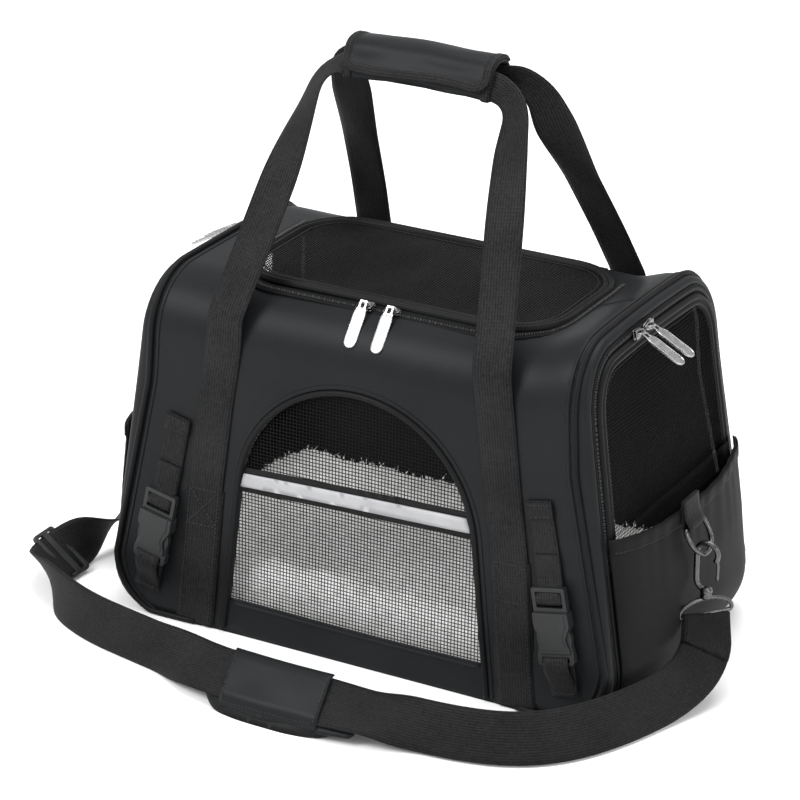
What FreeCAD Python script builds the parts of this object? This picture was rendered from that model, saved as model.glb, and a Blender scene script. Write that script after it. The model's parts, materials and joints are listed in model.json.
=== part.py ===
import FreeCAD, Part
import math
import os
from FreeCAD import Placement, Rotation, Vector

# Soft-sided pet carrier bag. Millimetres, +X to the bag's right, -Y to its front, +Z up.
# The origin is the middle of the underside.

DIMENSIONS = {
    "base_length": 432,
    "base_depth": 234,
    "shoulder_depth": 214,
    "shoulder_height": 226,
    "shoulder_radius": 44,
    "wall": 3,
    "waist_height": 190,
    "waist_length": 354,
    "roof_length": 344,
    "end_top_inset": 0.14,
    "end_base_length": 434,
    "end_corner": 45,
    "door_sill_height": 140,
    "gusset_width": 16,
    "door_thickness": 3,
    "door_binding_width": 8,
    "tape_thickness": 1.4,
    "tape_width": 7,
    "lid_length": 266,
    "lid_depth": 141,
    "lid_corner": 45,
    "lid_binding_width": 7,
    "lid_thickness": 3,
    "mesh_thickness": 1,
    "window_sill": 27,
    "window_sill_half": 108,
    "window_spring_height": 125,
    "window_spring_half": 97,
    "window_apex": 212,
    "rim_width": 4,
    "rim_height": 3,
    "webbing_width": 30,
    "webbing_thickness": 1.8,
    "webbing_top": 248,
    "loop_length": 216,
    "loop_axis_depth": 109.8,
    "loop_axis_height": 249.9,
    "loop_lean": 28.8,
    "grip_length": 131,
    "tether_width": 20,
    "tether_thickness": 1.5,
    "buckle_width": 26,
    "buckle_thickness": 9,
    "board_thickness": 3,
    "pad_thickness": 24,
    "bolster_height": 50,
    "piping_size": 2.2,
    "wire_size": 3,
    "pull_length": 36,
    "pull_width": 10,
    "pull_thickness": 1.2,
    "strap_width": 38,
    "strap_thickness": 2,
    "ring_wire": 2,
}

doc = FreeCAD.newDocument("pet_carrier_bag")
sheet = doc.addObject("Spreadsheet::Sheet", "driving_dimensions")
sheet.Label = "dims"
for row, (alias, value) in enumerate(DIMENSIONS.items(), 1):
    sheet.set(f"A{row}", alias)
    sheet.set(f"B{row}", str(value))
    sheet.setAlias(f"B{row}", alias)
doc.recompute()


def size(alias):
    return float(sheet.get(alias))


ends = (-1, 1)
front_lean = math.degrees(math.atan(
    (size("base_depth") - size("shoulder_depth")) / 2 / size("shoulder_height")))
roof_height = size("shoulder_height") + size("shoulder_radius")
nodes = {}


def keep(label, thing):
    """Records a finished sub-part, whose label names its file."""
    thing.Label = label
    nodes[label] = thing
    return thing


# ---------------------------------------------------------------- sketch helpers


def edges_of(outline):
    """Edges of a closed outline. A point with a third value is the middle of an arc."""
    around = list(outline) + [outline[0]]
    edges, at = [], 0
    while at < len(outline):
        start, following = around[at], around[at + 1]
        if len(following) == 3:
            edges.append(Part.Arc(Vector(*start[:2], 0), Vector(*following[:2], 0), Vector(*around[at + 2][:2], 0)))
            at += 2
        else:
            edges.append(Part.LineSegment(Vector(*start[:2], 0), Vector(*following[:2], 0)))
            at += 1
    return edges


def new_body(name):
    return doc.addObject("PartDesign::Body", name)


def draw(body, plane, outlines, shift=(0, 0, 0), tilt=0, turn=0):
    """A sketch on one of the body's origin planes, moved by shift and tilted about its own first axis."""
    sketch = body.newObject("Sketcher::SketchObject", body.Name + "_sketch")
    sketch.AttachmentSupport = (next(f for f in body.Origin.OriginFeatures if f.Role == plane), [""])
    sketch.MapMode = "FlatFace"
    sketch.AttachmentOffset = Placement(Vector(*shift), Rotation(Vector(1, 0, 0), tilt) * Rotation(Vector(0, 0, 1), turn))
    for outline in outlines:
        for edge in edges_of(outline):
            sketch.addGeometry(edge, False)
    return sketch


def pad(body, sketch, length, symmetric=False):
    """Pads a sketch by an expression on the sheet."""
    feature = body.newObject("PartDesign::Pad", body.Name + "_pad")
    feature.Profile = sketch
    feature.SideType = "Symmetric" if symmetric else "One side"
    feature.setExpression("Length", length)
    return feature


def cut_through(body, sketch):
    feature = body.newObject("PartDesign::Pocket", body.Name + "_opening")
    feature.Profile = sketch
    feature.SideType = "Symmetric"
    feature.Type = "Length"
    feature.setExpression("Length", "dims.base_length * 2")
    return feature


def plate(name, plane, outlines, length, **place):
    """A body that is one padded sketch."""
    body = new_body(name)
    symmetric = place.pop("symmetric", False)
    pad(body, draw(body, plane, outlines, **place), length, symmetric)
    return body


def combine(kind, name, base, tool):
    made = doc.addObject("Part::" + kind, name)
    made.Base, made.Tool = base, tool
    return made


def fuse(name, *shapes):
    made = doc.addObject("Part::MultiFuse", name)
    made.Shapes = list(shapes)
    return made


def mirror(name, source, normal=(1, 0, 0)):
    made = doc.addObject("Part::Mirroring", name)
    made.Source, made.Normal = source, Vector(*normal)
    return made


def group(label, *things):
    made = doc.addObject("Part::Compound", label)
    made.Links = list(things)
    return keep(label, made)


def box(name, length, width, height, at, rotation=Rotation()):
    """A Part box centred on a point. Its sizes are expressions on the sheet."""
    made = doc.addObject("Part::Box", name)
    for side, text in zip(("Length", "Width", "Height"), (length, width, height)):
        made.setExpression(side, str(text))
    doc.recompute()
    half = Vector(made.Length.Value, made.Width.Value, made.Height.Value) * 0.5
    made.Placement = Placement(Vector(*at) - rotation.multVec(half), rotation)
    return made


def rod(name, radius, height, at, direction):
    """A Part cylinder that starts at a point and runs in a direction."""
    made = doc.addObject("Part::Cylinder", name)
    made.setExpression("Radius", str(radius))
    made.setExpression("Height", str(height))
    made.Placement = Placement(Vector(*at), Rotation(Vector(0, 0, 1), Vector(*direction)))
    return made


# ---------------------------------------------------------------- the shell's two profiles


def arch(inset, foot_height):
    """The shell's section across the bag, seen from the end, at an inset, from front foot to back foot."""
    shoulder = size("shoulder_depth") / 2
    radius = size("shoulder_radius") - inset
    ridge = shoulder - size("shoulder_radius")
    slope = (size("base_depth") / 2 - shoulder) / size("shoulder_height")
    foot = size("base_depth") / 2 - slope * foot_height - inset
    height = size("shoulder_height")
    diagonal = radius * math.sqrt(0.5)
    front = [(-foot, foot_height), (-shoulder + inset, height),
             (-ridge - diagonal, height + diagonal, "arc"), (-ridge, height + radius)]
    back = [(-p[0], *p[1:]) for p in reversed(front)]
    return front + back


def arch_band(outer_inset, inner_inset, foot_height):
    """The closed outline between two insets of the arch."""
    return arch(outer_inset, foot_height) + list(reversed(arch(inner_inset, foot_height)))


corner_heights = (3, 5, 8, 12, 18, 26, 35, 45)


def tuck(height):
    """How far the rounded lower corner draws an end in at a height."""
    corner = size("end_corner")
    below = max(0.0, corner - height)
    return corner - math.sqrt(corner ** 2 - below ** 2)


def end_line(height, proud=0.0):
    """How far out the shell's end edge is at a height: it leans in to the waist and then less."""
    base, waist, top = (size(n) / 2 for n in ("base_length", "waist_length", "roof_length"))
    if height <= size("waist_height"):
        return base + (waist - base) * height / size("waist_height") - tuck(height) + proud
    share = (height - size("waist_height")) / (roof_height - size("waist_height"))
    return waist + (top - waist) * share + proud


def end_face(height, proud=0.0):
    """How far out the flat end face is at a height."""
    return size("end_base_length") / 2 - size("end_top_inset") * height - tuck(height) + proud


def heights_between(low, high):
    """Heights to draw an end's outline through, closer together round the lower corner."""
    return [low] + [z for z in (*corner_heights, size("waist_height")) if low < z < high] + [high]


def trim_to(name, outline):
    """A block across the whole depth whose outline is given in X and Z."""
    return plate(name, "XZ_Plane", [outline], "dims.base_depth * 2", symmetric=True)


def end_strip(low, high, inner, outer):
    """An outline in X and Z that follows the shell's end edge, between two offsets from it."""
    heights = heights_between(low, high)
    return [(end_line(z, outer), z) for z in heights] + [(end_line(z, inner), z) for z in reversed(heights)]


def face_strip(low, high, inner, outer):
    """An outline in X and Z that follows the flat end face, between two offsets from it."""
    return [(end_face(low, inner), low), (end_face(low, outer), low),
            (end_face(high, outer), high), (end_face(high, inner), high)]


def along_arch(name, outer_inset, inner_inset, foot_height, outline):
    """A band of the arch cut to an outline in X and Z: it follows the shell round an end."""
    band = plate(name + "_band", "YZ_Plane", [arch_band(outer_inset, inner_inset, foot_height)],
                 "dims.base_length * 1.2", symmetric=True)
    return combine("Common", name, band, trim_to(name + "_trim", outline))


def rounded(half_x, half_y, corner):
    """A rounded rectangle about the origin."""
    bulge = corner * (1 - math.sqrt(0.5))
    outline = []
    for sx, sy in ((1, -1), (1, 1), (-1, 1), (-1, -1)):
        across = (sx * (half_x - corner), sy * half_y)
        upright = (sx * half_x, sy * (half_y - corner))
        first, last = (across, upright) if sx * sy < 0 else (upright, across)
        outline += [first, (sx * (half_x - bulge), sy * (half_y - bulge), "arc"), last]
    return outline


# ---------------------------------------------------------------- shell panels

panel_foot = size("wall")
lid_half = (size("lid_length") / 2, size("lid_depth") / 2)
opening_half = [h - size("lid_binding_width") + 1 for h in lid_half]


def window(grow, foot_height):
    """The arched window's outline, grown outwards, its sides run down to a foot height."""
    spread = (size("window_sill_half") - size("window_spring_half")) / (
        size("window_spring_height") - size("window_sill"))
    foot = size("window_spring_half") + spread * (size("window_spring_height") - foot_height) + grow
    side = size("window_spring_half") + grow
    return [(-foot, foot_height), (-side, size("window_spring_height")),
            (0, size("window_apex") + grow, "arc"), (side, size("window_spring_height")), (foot, foot_height)]


def shell_panel(label, side):
    """The front or back wall with its half of the roof round the lid opening. side is -1 at the front."""
    body = new_body(label + "_blank")
    half = [p for p in arch(0, panel_foot) if p[0] * side > 0]
    inner = [p for p in arch(size("wall"), panel_foot) if p[0] * side > 0]
    if side > 0:
        half, inner = half[::-1], inner[::-1]
    outline = half + [(0, roof_height), (0, roof_height - size("wall"))] + inner[::-1]
    pad(body, draw(body, "YZ_Plane", [outline]), "dims.base_length * 1.2", symmetric=True)
    cut_through(body, draw(body, "XY_Plane", [rounded(*opening_half, size("lid_corner") - 6)]))
    if side < 0:
        cut_through(body, draw(body, "XZ_Plane", [window(0, size("window_sill"))]))
    right = [(end_line(z), z) for z in heights_between(panel_foot, roof_height + 10)]
    trim = trim_to(label + "_trim", right + [(-x, z) for x, z in reversed(right)])
    return keep(label, combine("Common", label, body, trim))


shell_panel("front_panel", -1)
shell_panel("back_panel", 1)

keep("bottom_panel", plate("bottom_panel", "XY_Plane",
                           [rounded(end_line(panel_foot) - 0.5, size("base_depth") / 2, 8)], "dims.wall"))
inside_half = (end_line(panel_foot) - 4, size("base_depth") / 2 - 8)
keep("base_board", plate("base_board", "XY_Plane", [rounded(*inside_half, 14)],
                         "dims.board_thickness", shift=(0, 0, size("wall"))))

# The fleece pad is a mat whose rim is a raised bolster.
pad_floor = size("wall") + size("board_thickness")
pad_half = (end_line(pad_floor) - 6, inside_half[1] - 3)
pad_body = new_body("fleece_pad")
pad(pad_body, draw(pad_body, "XY_Plane", [rounded(*pad_half, 30)], shift=(0, 0, pad_floor)), "dims.bolster_height")
hollow = pad_body.newObject("PartDesign::Pocket", "fleece_pad_hollow")
hollow.Profile = draw(pad_body, "XY_Plane", [rounded(pad_half[0] - 30, pad_half[1] - 26, 22)],
                      shift=(0, 0, pad_floor + size("bolster_height")))
hollow.setExpression("Length", "dims.bolster_height - dims.pad_thickness")
keep("fleece_pad", pad_body)

# ---------------------------------------------------------------- front window


def on_front(name, outlines, thickness, standoff=0.0):
    """A flat piece on the leaning front wall. Its outlines are in X and in height up the wall."""
    return plate(name, "XZ_Plane", outlines, thickness, tilt=-front_lean,
                 shift=(0, 0, size("base_depth") / 2 + standoff))


keep("window_mesh", on_front("window_mesh", [window(-0.4, size("window_sill") + 0.6)], "dims.mesh_thickness", -2.2))
keep("window_piping", on_front(
    "window_piping", [window(size("rim_width"), 4) + window(0, 4)[::-1]], "dims.rim_height"))


window_rise = size("window_apex") - size("window_spring_height")
window_radius = (size("window_spring_half") ** 2 + window_rise ** 2) / (2 * window_rise)


def window_half(height):
    """Half the window's width at a height above its widest sill."""
    above = height - (size("window_apex") - window_radius)
    if height > size("window_spring_height"):
        return math.sqrt(window_radius ** 2 - above ** 2)
    spread = (size("window_sill_half") - size("window_spring_half")) / (
        size("window_spring_height") - size("window_sill"))
    return size("window_spring_half") + spread * (size("window_spring_height") - height)


def band_across(low, high, gap, slope=0.036):
    """A sloping band over the window, between two heights at the middle, its ends a gap from the window's edge."""
    corners = []
    for side, height in ((-1, low), (1, low), (1, high), (-1, high)):
        reach = window_half(height + side * slope * size("window_spring_half")) - gap
        corners.append((side * reach, height + side * slope * reach))
    return corners


keep("window_ribbon", on_front("window_ribbon", [band_across(121, 141, 0.6)], "0.8", -1.15))
keep("reflective_strip", on_front("reflective_strip", [band_across(125.5, 136.5, 1.6)], "0.3", -0.3))

# ---------------------------------------------------------------- ends: piping, wires, gussets, doors, pockets

sill = size("door_sill_height")
top_reach = roof_height + 10
gusset_inner = size("gusset_width")


def both_ends(label, right):
    return group(label, right, mirror(label + "_left", right))


both_ends("end_piping", along_arch("end_piping_right", -size("piping_size"), 0, 6,
                                   end_strip(6, top_reach, -3, 1.5)))
both_ends("arch_wires", along_arch("arch_wire_right", size("wall"), size("wall") + size("wire_size"), 8,
                                   end_strip(8, top_reach, -3 - size("wire_size"), -3)))
gusset_outline = [(end_line(z), z) for z in (sill, size("waist_height"), top_reach)]
gusset_outline += [(end_face(z), z) for z in (top_reach, sill)]
both_ends("end_gussets", along_arch("end_gusset_right", 0, gusset_inner, sill - 0.5, gusset_outline))
both_ends("door_zip_tapes", along_arch("door_zip_tape_right", gusset_inner - size("tape_width"), gusset_inner - 0.2,
                                       sill + 4, face_strip(sill, top_reach, 0, size("tape_thickness"))))

lower_foot, lower_top = size("wall") + 0.1, sill - 0.6
lower_heights = heights_between(lower_foot, lower_top)
lower_outline = [(end_line(z), z) for z in lower_heights] + [(end_face(z), z) for z in reversed(lower_heights)]
lower_block = plate("end_panel_block", "YZ_Plane", [arch(0.05, lower_foot)], "dims.base_length * 1.2",
                    symmetric=True)
end_panel_right = combine("Common", "end_panel_right", lower_block, trim_to("end_panel_trim", lower_outline))
keep("right_end_panel", end_panel_right)
keep("left_end_panel", mirror("left_end_panel", end_panel_right))

door_inset = gusset_inner + 0.4
binding = size("door_binding_width")
door_low, door_high = 0.3, 0.3 + size("door_thickness")


def door_pieces():
    """The end door's binding frame and the mesh inside it, right-hand side."""
    body = new_body("door_binding_right_band")
    outer = arch(door_inset, sill)
    inner = arch(door_inset + binding, sill + binding)
    pad(body, draw(body, "YZ_Plane", [outer, inner]), "dims.base_length * 1.2", symmetric=True)
    frame = combine("Common", "door_binding_right", body,
                    trim_to("door_binding_trim", face_strip(sill, top_reach, door_low, door_high)))
    fill = plate("door_mesh_fill", "YZ_Plane", [arch(door_inset + binding + 0.05, sill + binding + 0.05)],
                 "dims.base_length * 1.2", symmetric=True)
    mesh = combine("Common", "door_mesh_right", fill, trim_to(
        "door_mesh_trim", face_strip(sill, top_reach, door_low + 1, door_low + 1 + size("mesh_thickness"))))
    return frame, mesh


door_frame, door_mesh = door_pieces()
keep("right_door_binding", door_frame)
keep("right_door_mesh", door_mesh)
keep("left_door_binding", mirror("left_door_binding", door_frame))
keep("left_door_mesh", mirror("left_door_mesh", door_mesh))

# The end pocket is an open-topped pouch that bulges out below the door.
pocket_hem = 134
pocket_circle = [(217.5, 4), (226, 55), (219, 134)]
pocket_outer = [(206, 14), (219, 27, "arc"), (225.9, 50), (224.9, 95, "arc"), (219, pocket_hem)]
pocket_cavity = [(207.5, 20), (217, 30, "arc"), (223.4, 50), (222.6, 95, "arc"), (217, pocket_hem + 2)]


def pocket_block(name, curve, half_depth, low, high):
    """The space between the end face and the pocket's curved skin."""
    back = [(end_face(z, 0.1), z) for z in reversed(heights_between(low, high))]
    outline = curve + back
    return plate(name, "XZ_Plane", [outline], f"{2 * half_depth}", symmetric=True)


pocket_right = combine("Cut", "pocket_right", pocket_block("pocket_skin", pocket_outer, 104, 13, pocket_hem),
                       pocket_block("pocket_cavity", pocket_cavity, 101, 19, pocket_hem + 2))
keep("right_pocket", pocket_right)
keep("left_pocket", mirror("left_pocket", pocket_right))

# ---------------------------------------------------------------- lid and its zip

lid_floor = roof_height + 0.3
keep("lid_binding", plate("lid_binding", "XY_Plane", [
    rounded(*lid_half, size("lid_corner")),
    rounded(*[h - size("lid_binding_width") for h in lid_half], size("lid_corner") - size("lid_binding_width")),
], "dims.lid_thickness", shift=(0, 0, lid_floor)))
keep("lid_mesh", plate("lid_mesh", "XY_Plane", [
    rounded(*[h - size("lid_binding_width") - 0.05 for h in lid_half],
            size("lid_corner") - size("lid_binding_width"))], "dims.mesh_thickness", shift=(0, 0, lid_floor + 1)))

ridge = size("shoulder_depth") / 2 - size("shoulder_radius")


def on_shoulder(angle, radius):
    """A point on the front shoulder, by angle from the +Y direction about the shoulder's centre line."""
    turn = math.radians(angle)
    return (-ridge + radius * math.cos(turn), size("shoulder_height") + radius * math.sin(turn))


tape_from, tape_to = 101.5, 114
tape_radius = size("shoulder_radius") + size("tape_thickness")
front_tape = plate("lid_tape_front", "YZ_Plane", [[
    on_shoulder(tape_from, size("shoulder_radius")), (*on_shoulder(108, size("shoulder_radius")), "arc"),
    on_shoulder(tape_to, size("shoulder_radius")), on_shoulder(tape_to, tape_radius),
    (*on_shoulder(108, tape_radius), "arc"), on_shoulder(tape_from, tape_radius)]],
    "dims.lid_length + 12", symmetric=True)
side_tapes = [box(f"lid_tape_side_{side}", "dims.tape_width - 1", "110", "dims.tape_thickness",
                  (side * (lid_half[0] + 3.4), -8, roof_height + size("tape_thickness") / 2)) for side in ends]
keep("lid_zip_tape", group("lid_zip_tape", front_tape, *side_tapes))

# ---------------------------------------------------------------- webbing and handles


def strip(points, width):
    """A flat strap's outline from its centre line, in a few straight stretches."""
    half = width / 2
    return [(x + half, z) for x, z in points] + [(x - half, z) for x, z in reversed(points)]


webbing_line = [(138, 3), (128, 115), (110, size("webbing_top"))]
front_strips = [on_front(f"front_webbing_{side}", [strip([(side * x, z) for x, z in webbing_line],
                                                         size("webbing_width"))], "dims.webbing_thickness")
                for side in ends]
group("front_webbing", *front_strips)
group("rear_webbing", *[mirror(f"rear_webbing_{n}", s, (0, 1, 0)) for n, s in enumerate(front_strips)])

loop = size("loop_length")
loop_outline = [(95, 0), (125, 0), (82, loop), (-82, loop), (-125, 0), (-95, 0), (-67, loop - 24), (67, loop - 24)]
front_loop = plate("front_handle", "XZ_Plane", [loop_outline], "dims.webbing_thickness",
                   shift=(0, size("loop_axis_height"), size("loop_axis_depth")), tilt=-size("loop_lean"))
keep("front_handle", front_loop)
keep("rear_handle", mirror("rear_handle", front_loop, (0, 1, 0)))

grip_bottom, grip_top = 414.5, 449
keep("handle_grip", plate("handle_grip", "YZ_Plane", [
    [(-24, grip_bottom), (24, grip_bottom), (12, grip_top), (0, grip_top + 1.5, "arc"), (-12, grip_top)],
    [(-20.8, grip_bottom + 2), (20.8, grip_bottom + 2), (9, grip_top - 3), (-9, grip_top - 3)],
], "dims.grip_length", symmetric=True))

# ---------------------------------------------------------------- side-release tethers on the front wall

tether_top = (150, 167)
tether_foot = (178, 25)
tether_run = Vector(tether_foot[0] - tether_top[0], tether_foot[1] - tether_top[1], 0)
tether_unit = tether_run / tether_run.Length


def tether_plate(name, side, outlines, thickness, standoff):
    """A flat piece of a tether: its outlines run across and down along the tether from its top."""
    across = Vector(-tether_unit.y, tether_unit.x, 0)

    def place(point):
        spot = Vector(*tether_top, 0) + across * point[0] + tether_unit * point[1]
        return (side * spot.x, spot.y, *point[2:])

    return on_front(name, [[place(p) for p in outline] for outline in outlines], thickness, standoff)


def block(half, start, stop):
    return [(-half, start), (half, start), (half, stop), (-half, stop)]


half_tether = size("tether_width") / 2
half_buckle = size("buckle_width") / 2
females_end, bar_end = 112, 121
males, anchors = [], []
for side, word in zip(ends, ("left", "right")):
    keep(f"{word}_buckle_webbing", tether_plate(
        f"{word}_buckle_webbing", side, [block(half_tether, 0, 62)], "dims.tether_thickness", 0.2))
    # The upper half is a ladder lock and the receptacle, whose mouth faces down.
    ladder = tether_plate(f"{word}_ladder", side, [
        block(half_buckle, 63.5, 82), block(half_tether + 0.6, 66.5, 70.5), block(half_tether + 0.6, 74, 78)],
        "5", 3.6)
    shell = tether_plate(f"{word}_female_shell", side, [block(half_buckle + 1, 81.5, females_end)],
                         "dims.buckle_thickness", 1.8)
    cavity = tether_plate(f"{word}_female_cavity", side, [block(half_buckle - 1.5, 88, females_end + 2)],
                          "5.6", 3.4)
    windows = [tether_plate(f"{word}_female_window_{n}", side, [
        [(low, 97), (low + 6, 97), (low + 6, 106), (low, 106)]], "5.6", 3.4)
        for n, low in enumerate((-16, 10))]
    hollow_shell = combine("Cut", f"{word}_female_hollow", shell, fuse(f"{word}_female_inside", cavity, *windows))
    keep(f"{word}_buckle_female", fuse(f"{word}_buckle_female", ladder, hollow_shell))
    # The lower half is a slotted bar with three prongs that reach up into the receptacle.
    bar = tether_plate(f"{word}_male_bar", side, [
        block(half_buckle + 1, females_end + 0.4, bar_end), block(half_tether + 0.5, 115, 118.6)], "6", 3.3)
    prongs = [tether_plate(f"{word}_prong_{n}", side, [
        [(low, 92), (high, 92), (high, 113), (low, 113)]], "4", 4.1)
        for n, (low, high) in enumerate(((-10.5, -7), (-1.2, 1.2), (7, 10.5)))]
    males.append(fuse(f"{word}_buckle_male", bar, *prongs))
    anchors.append(tether_plate(f"{word}_anchor", side, [block(half_tether, 119, 145)],
                                "dims.tether_thickness * 2", 0.05))
group("buckle_males", *males)
group("buckle_anchors", *anchors)

# ---------------------------------------------------------------- zip sliders and pulls


def pull(name, axis_point, direction, across):
    """A zip pull: a flat tab with an open loop at its hinge end, hanging from a point."""
    direction, across = Vector(*direction).normalize(), Vector(*across)
    rotation = Rotation(across, direction, across.cross(direction), "ZXY")
    body = new_body(name)
    half, length = size("pull_width") / 2, size("pull_length")
    tab = [(half, 0), (half, length - half), (0, length, "arc"), (-half, length - half), (-half, 0)]
    eye = [(half - 2, 2), (half - 2, 8), (-half + 2, 8), (-half + 2, 2)]
    pad(body, draw(body, "XY_Plane", [tab, eye]), "dims.pull_thickness", symmetric=True)
    body.Placement = Placement(Vector(*axis_point), rotation)
    return body


def slider(name, at, normal, along):
    """A zip slider: its body on the tape, with a bail on top that holds the pull."""
    normal, along = Vector(*normal).normalize(), Vector(*along).normalize()
    rotation = Rotation(along, normal.cross(along), normal, "ZXY")
    shell = box(name + "_shell", "12", "7", "3.4", Vector(*at) + normal * 1.9, rotation)
    bail = box(name + "_bail", "7", "2.4", "1.6", Vector(*at) + normal * 4.2, rotation)
    return fuse(name, shell, bail)


slider_lift = 0.3
lid_slider_angle = 108
lid_normal = (0, math.cos(math.radians(lid_slider_angle)), math.sin(math.radians(lid_slider_angle)))
lid_slider_y, lid_slider_z = on_shoulder(lid_slider_angle, tape_radius + slider_lift)
pull_drop = math.radians(40)
for side, word in zip(ends, ("left", "right")):
    spot = (side * 11 + 2, lid_slider_y, lid_slider_z)
    keep(f"lid_slider_{word}", slider(f"lid_slider_{word}", spot, lid_normal, (1, 0, 0)))
    hinge = Vector(*spot) + Vector(*lid_normal) * 6 + Vector(0, -1.5, 0)
    keep(f"lid_pull_{word}", pull(f"lid_pull_{word}", hinge, (0, -math.sin(pull_drop), -math.cos(pull_drop)),
                                  (1, 0, 0)))

face_normal = Vector(1, 0, size("end_top_inset")).normalize()
slider_standoff = door_high + slider_lift
# The two sliders of each door meet on the top of its arch, nearer the front at the right end.
slider_spots = {
    "right": {"front": (-30, roof_height - 4), "rear": (-14, roof_height - 4)},
    "left": {"front": (22, roof_height - 10), "rear": (40, roof_height - 10)},
}
pull_dip = math.radians(28)
for word, places in slider_spots.items():
    for place, (y, z) in places.items():
        spot = Vector(end_face(z, slider_standoff), y, z)
        along = (0, 1, 0) if place == "rear" else (0, -1, 0)
        made = slider(f"door_slider_{word}_{place}", spot, face_normal, along)
        tab = pull(f"door_pull_{word}_{place}", spot + face_normal * 6,
                   (math.cos(pull_dip), 0, -math.sin(pull_dip)), (0, 1, 0))
        for kind, thing in (("slider", made), ("pull", tab)):
            label = f"{word}_door_{kind}_{place}"
            keep(label, thing if word == "right" else mirror(label, thing))

# ---------------------------------------------------------------- strap anchors: tab, D-ring, snap hook, gate, eye


def skin_at(height):
    """How far out the pocket's skin is at a height, on the circle through its three points."""
    (x1, z1), (x2, z2), (x3, z3) = pocket_circle
    cross = 2 * (x1 * (z2 - z3) + x2 * (z3 - z1) + x3 * (z1 - z2))
    squares = [x * x + z * z for x, z in ((x1, z1), (x2, z2), (x3, z3))]
    cx = (squares[0] * (z2 - z3) + squares[1] * (z3 - z1) + squares[2] * (z1 - z2)) / cross
    cz = (squares[0] * (x3 - x2) + squares[1] * (x1 - x3) + squares[2] * (x2 - x1)) / cross
    return cx + math.sqrt((x1 - cx) ** 2 + (z1 - cz) ** 2 - (height - cz) ** 2)


ring_bar = (skin_at(115) + 3.6, 115)
ring_tilt = 30
ring_drop = 23
hook_x = ring_bar[0] + ring_drop * math.sin(math.radians(ring_tilt))
hook_z = ring_bar[1] - ring_drop * math.cos(math.radians(ring_tilt))
tab_ends = (133, 118)
tab = plate("ring_tab", "XZ_Plane", [
    [(skin_at(z) + 0.1, z) for z in tab_ends] + [(skin_at(z) + 2.1, z) for z in reversed(tab_ends)]],
    "25", symmetric=True)
both_ends("ring_tabs", tab)

ring_outer = [(-17, 2), (17, 2), (17, -8), (0, -25, "arc"), (-17, -8)]
ring_inner = [(-13, -2), (13, -2), (13, -8), (0, -21, "arc"), (-13, -8)]
ring = plate("d_ring", "YZ_Plane", [ring_outer, ring_inner], "dims.ring_wire * 2", symmetric=True,
             shift=(0, ring_bar[1], ring_bar[0]), tilt=-ring_tilt)

hook_top = hook_z + 7.6
hook_outer = [(hook_x + 10.5, hook_top - 10.5), (hook_x, hook_top, "arc"), (hook_x - 10.5, hook_top - 10.5),
              (hook_x - 10.5, 70), (hook_x - 7, 66), (hook_x + 7, 66), (hook_x + 10.5, 70)]
hook_hole = [(hook_x + 6, hook_top - 10.2), (hook_x, hook_top - 4.2, "arc"), (hook_x - 6, hook_top - 10.2),
             (hook_x - 6, 76), (hook_x, 71, "arc"), (hook_x + 6, 76)]
hook_loop = plate("hook_loop", "XZ_Plane", [hook_outer, hook_hole], "5", symmetric=True)
gate_gap = box("hook_gate_gap", "6", "8", "15", (hook_x + 8.4, 0, 83.5))
hook = fuse("snap_hook", combine("Cut", "hook_open", hook_loop, gate_gap),
            rod("hook_barrel", 4.5, 8.5, (hook_x, 0, 58), (0, 0, 1)))
gate = box("hook_gate", "3", "3", "14.2", (hook_x + 8.3, 0, 83.5))
eye = plate("strap_eye", "YZ_Plane", [rounded(23, 6.8, 4), rounded(20, 3.4, 1.5)], "4", symmetric=True,
            shift=(0, 50.8, hook_x))
for name, piece in (("d_ring", ring), ("snap_hook", hook), ("hook_gate", gate), ("strap_eye", eye)):
    keep(f"right_{name}", piece)
    keep(f"left_{name}", mirror(f"left_{name}", piece))

# ---------------------------------------------------------------- shoulder strap, lying loose in front of the bag

half_strap = size("strap_width") / 2
lie = half_strap + 0.2
strap_route = [
    (-238, -25, 36), (-243, -32, 28), (-255, -45, 21), (-270, -62, lie), (-280, -84, lie), (-277, -110, lie),
    (-259, -138, lie), (-230, -161, lie), (-192, -178, lie), (-150, -187, lie), (-100, -197, lie),
    (-50, -208, lie), (0, -211, lie), (50, -209.5, lie), (92, -203, lie), (132, -200, lie), (167, -191, lie),
    (194, -173, lie), (212, -146, lie), (223, -113, lie), (230, -80, lie), (236, -52, 24), (238, -25, 36),
]


def rounded_path(points, share=0.45):
    """Straight runs joined by tangent arcs, each as large as its two runs allow."""
    spots = [Vector(*p) for p in points]
    edges, start = [], spots[0]
    for before, corner, after in zip(spots, spots[1:], spots[2:]):
        inward, outward = (corner - before), (after - corner)
        shorter = min(inward.Length, outward.Length)
        inward.normalize()
        outward.normalize()
        turn = inward.getAngle(outward)
        reach = share * shorter
        radius = reach / math.tan(turn / 2)
        first, last = corner - inward * reach, corner + outward * reach
        bisector = (outward - inward).normalize()
        middle = corner + bisector * (radius / math.cos(turn / 2) - radius)
        print(f"strap bend radius {radius:.0f} mm at {tuple(round(c) for c in corner)}")
        edges += [Part.LineSegment(start, first).toShape(), Part.Arc(first, middle, last).toShape()]
        start = last
    edges.append(Part.LineSegment(start, spots[-1]).toShape())
    return Part.Wire(edges)


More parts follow.
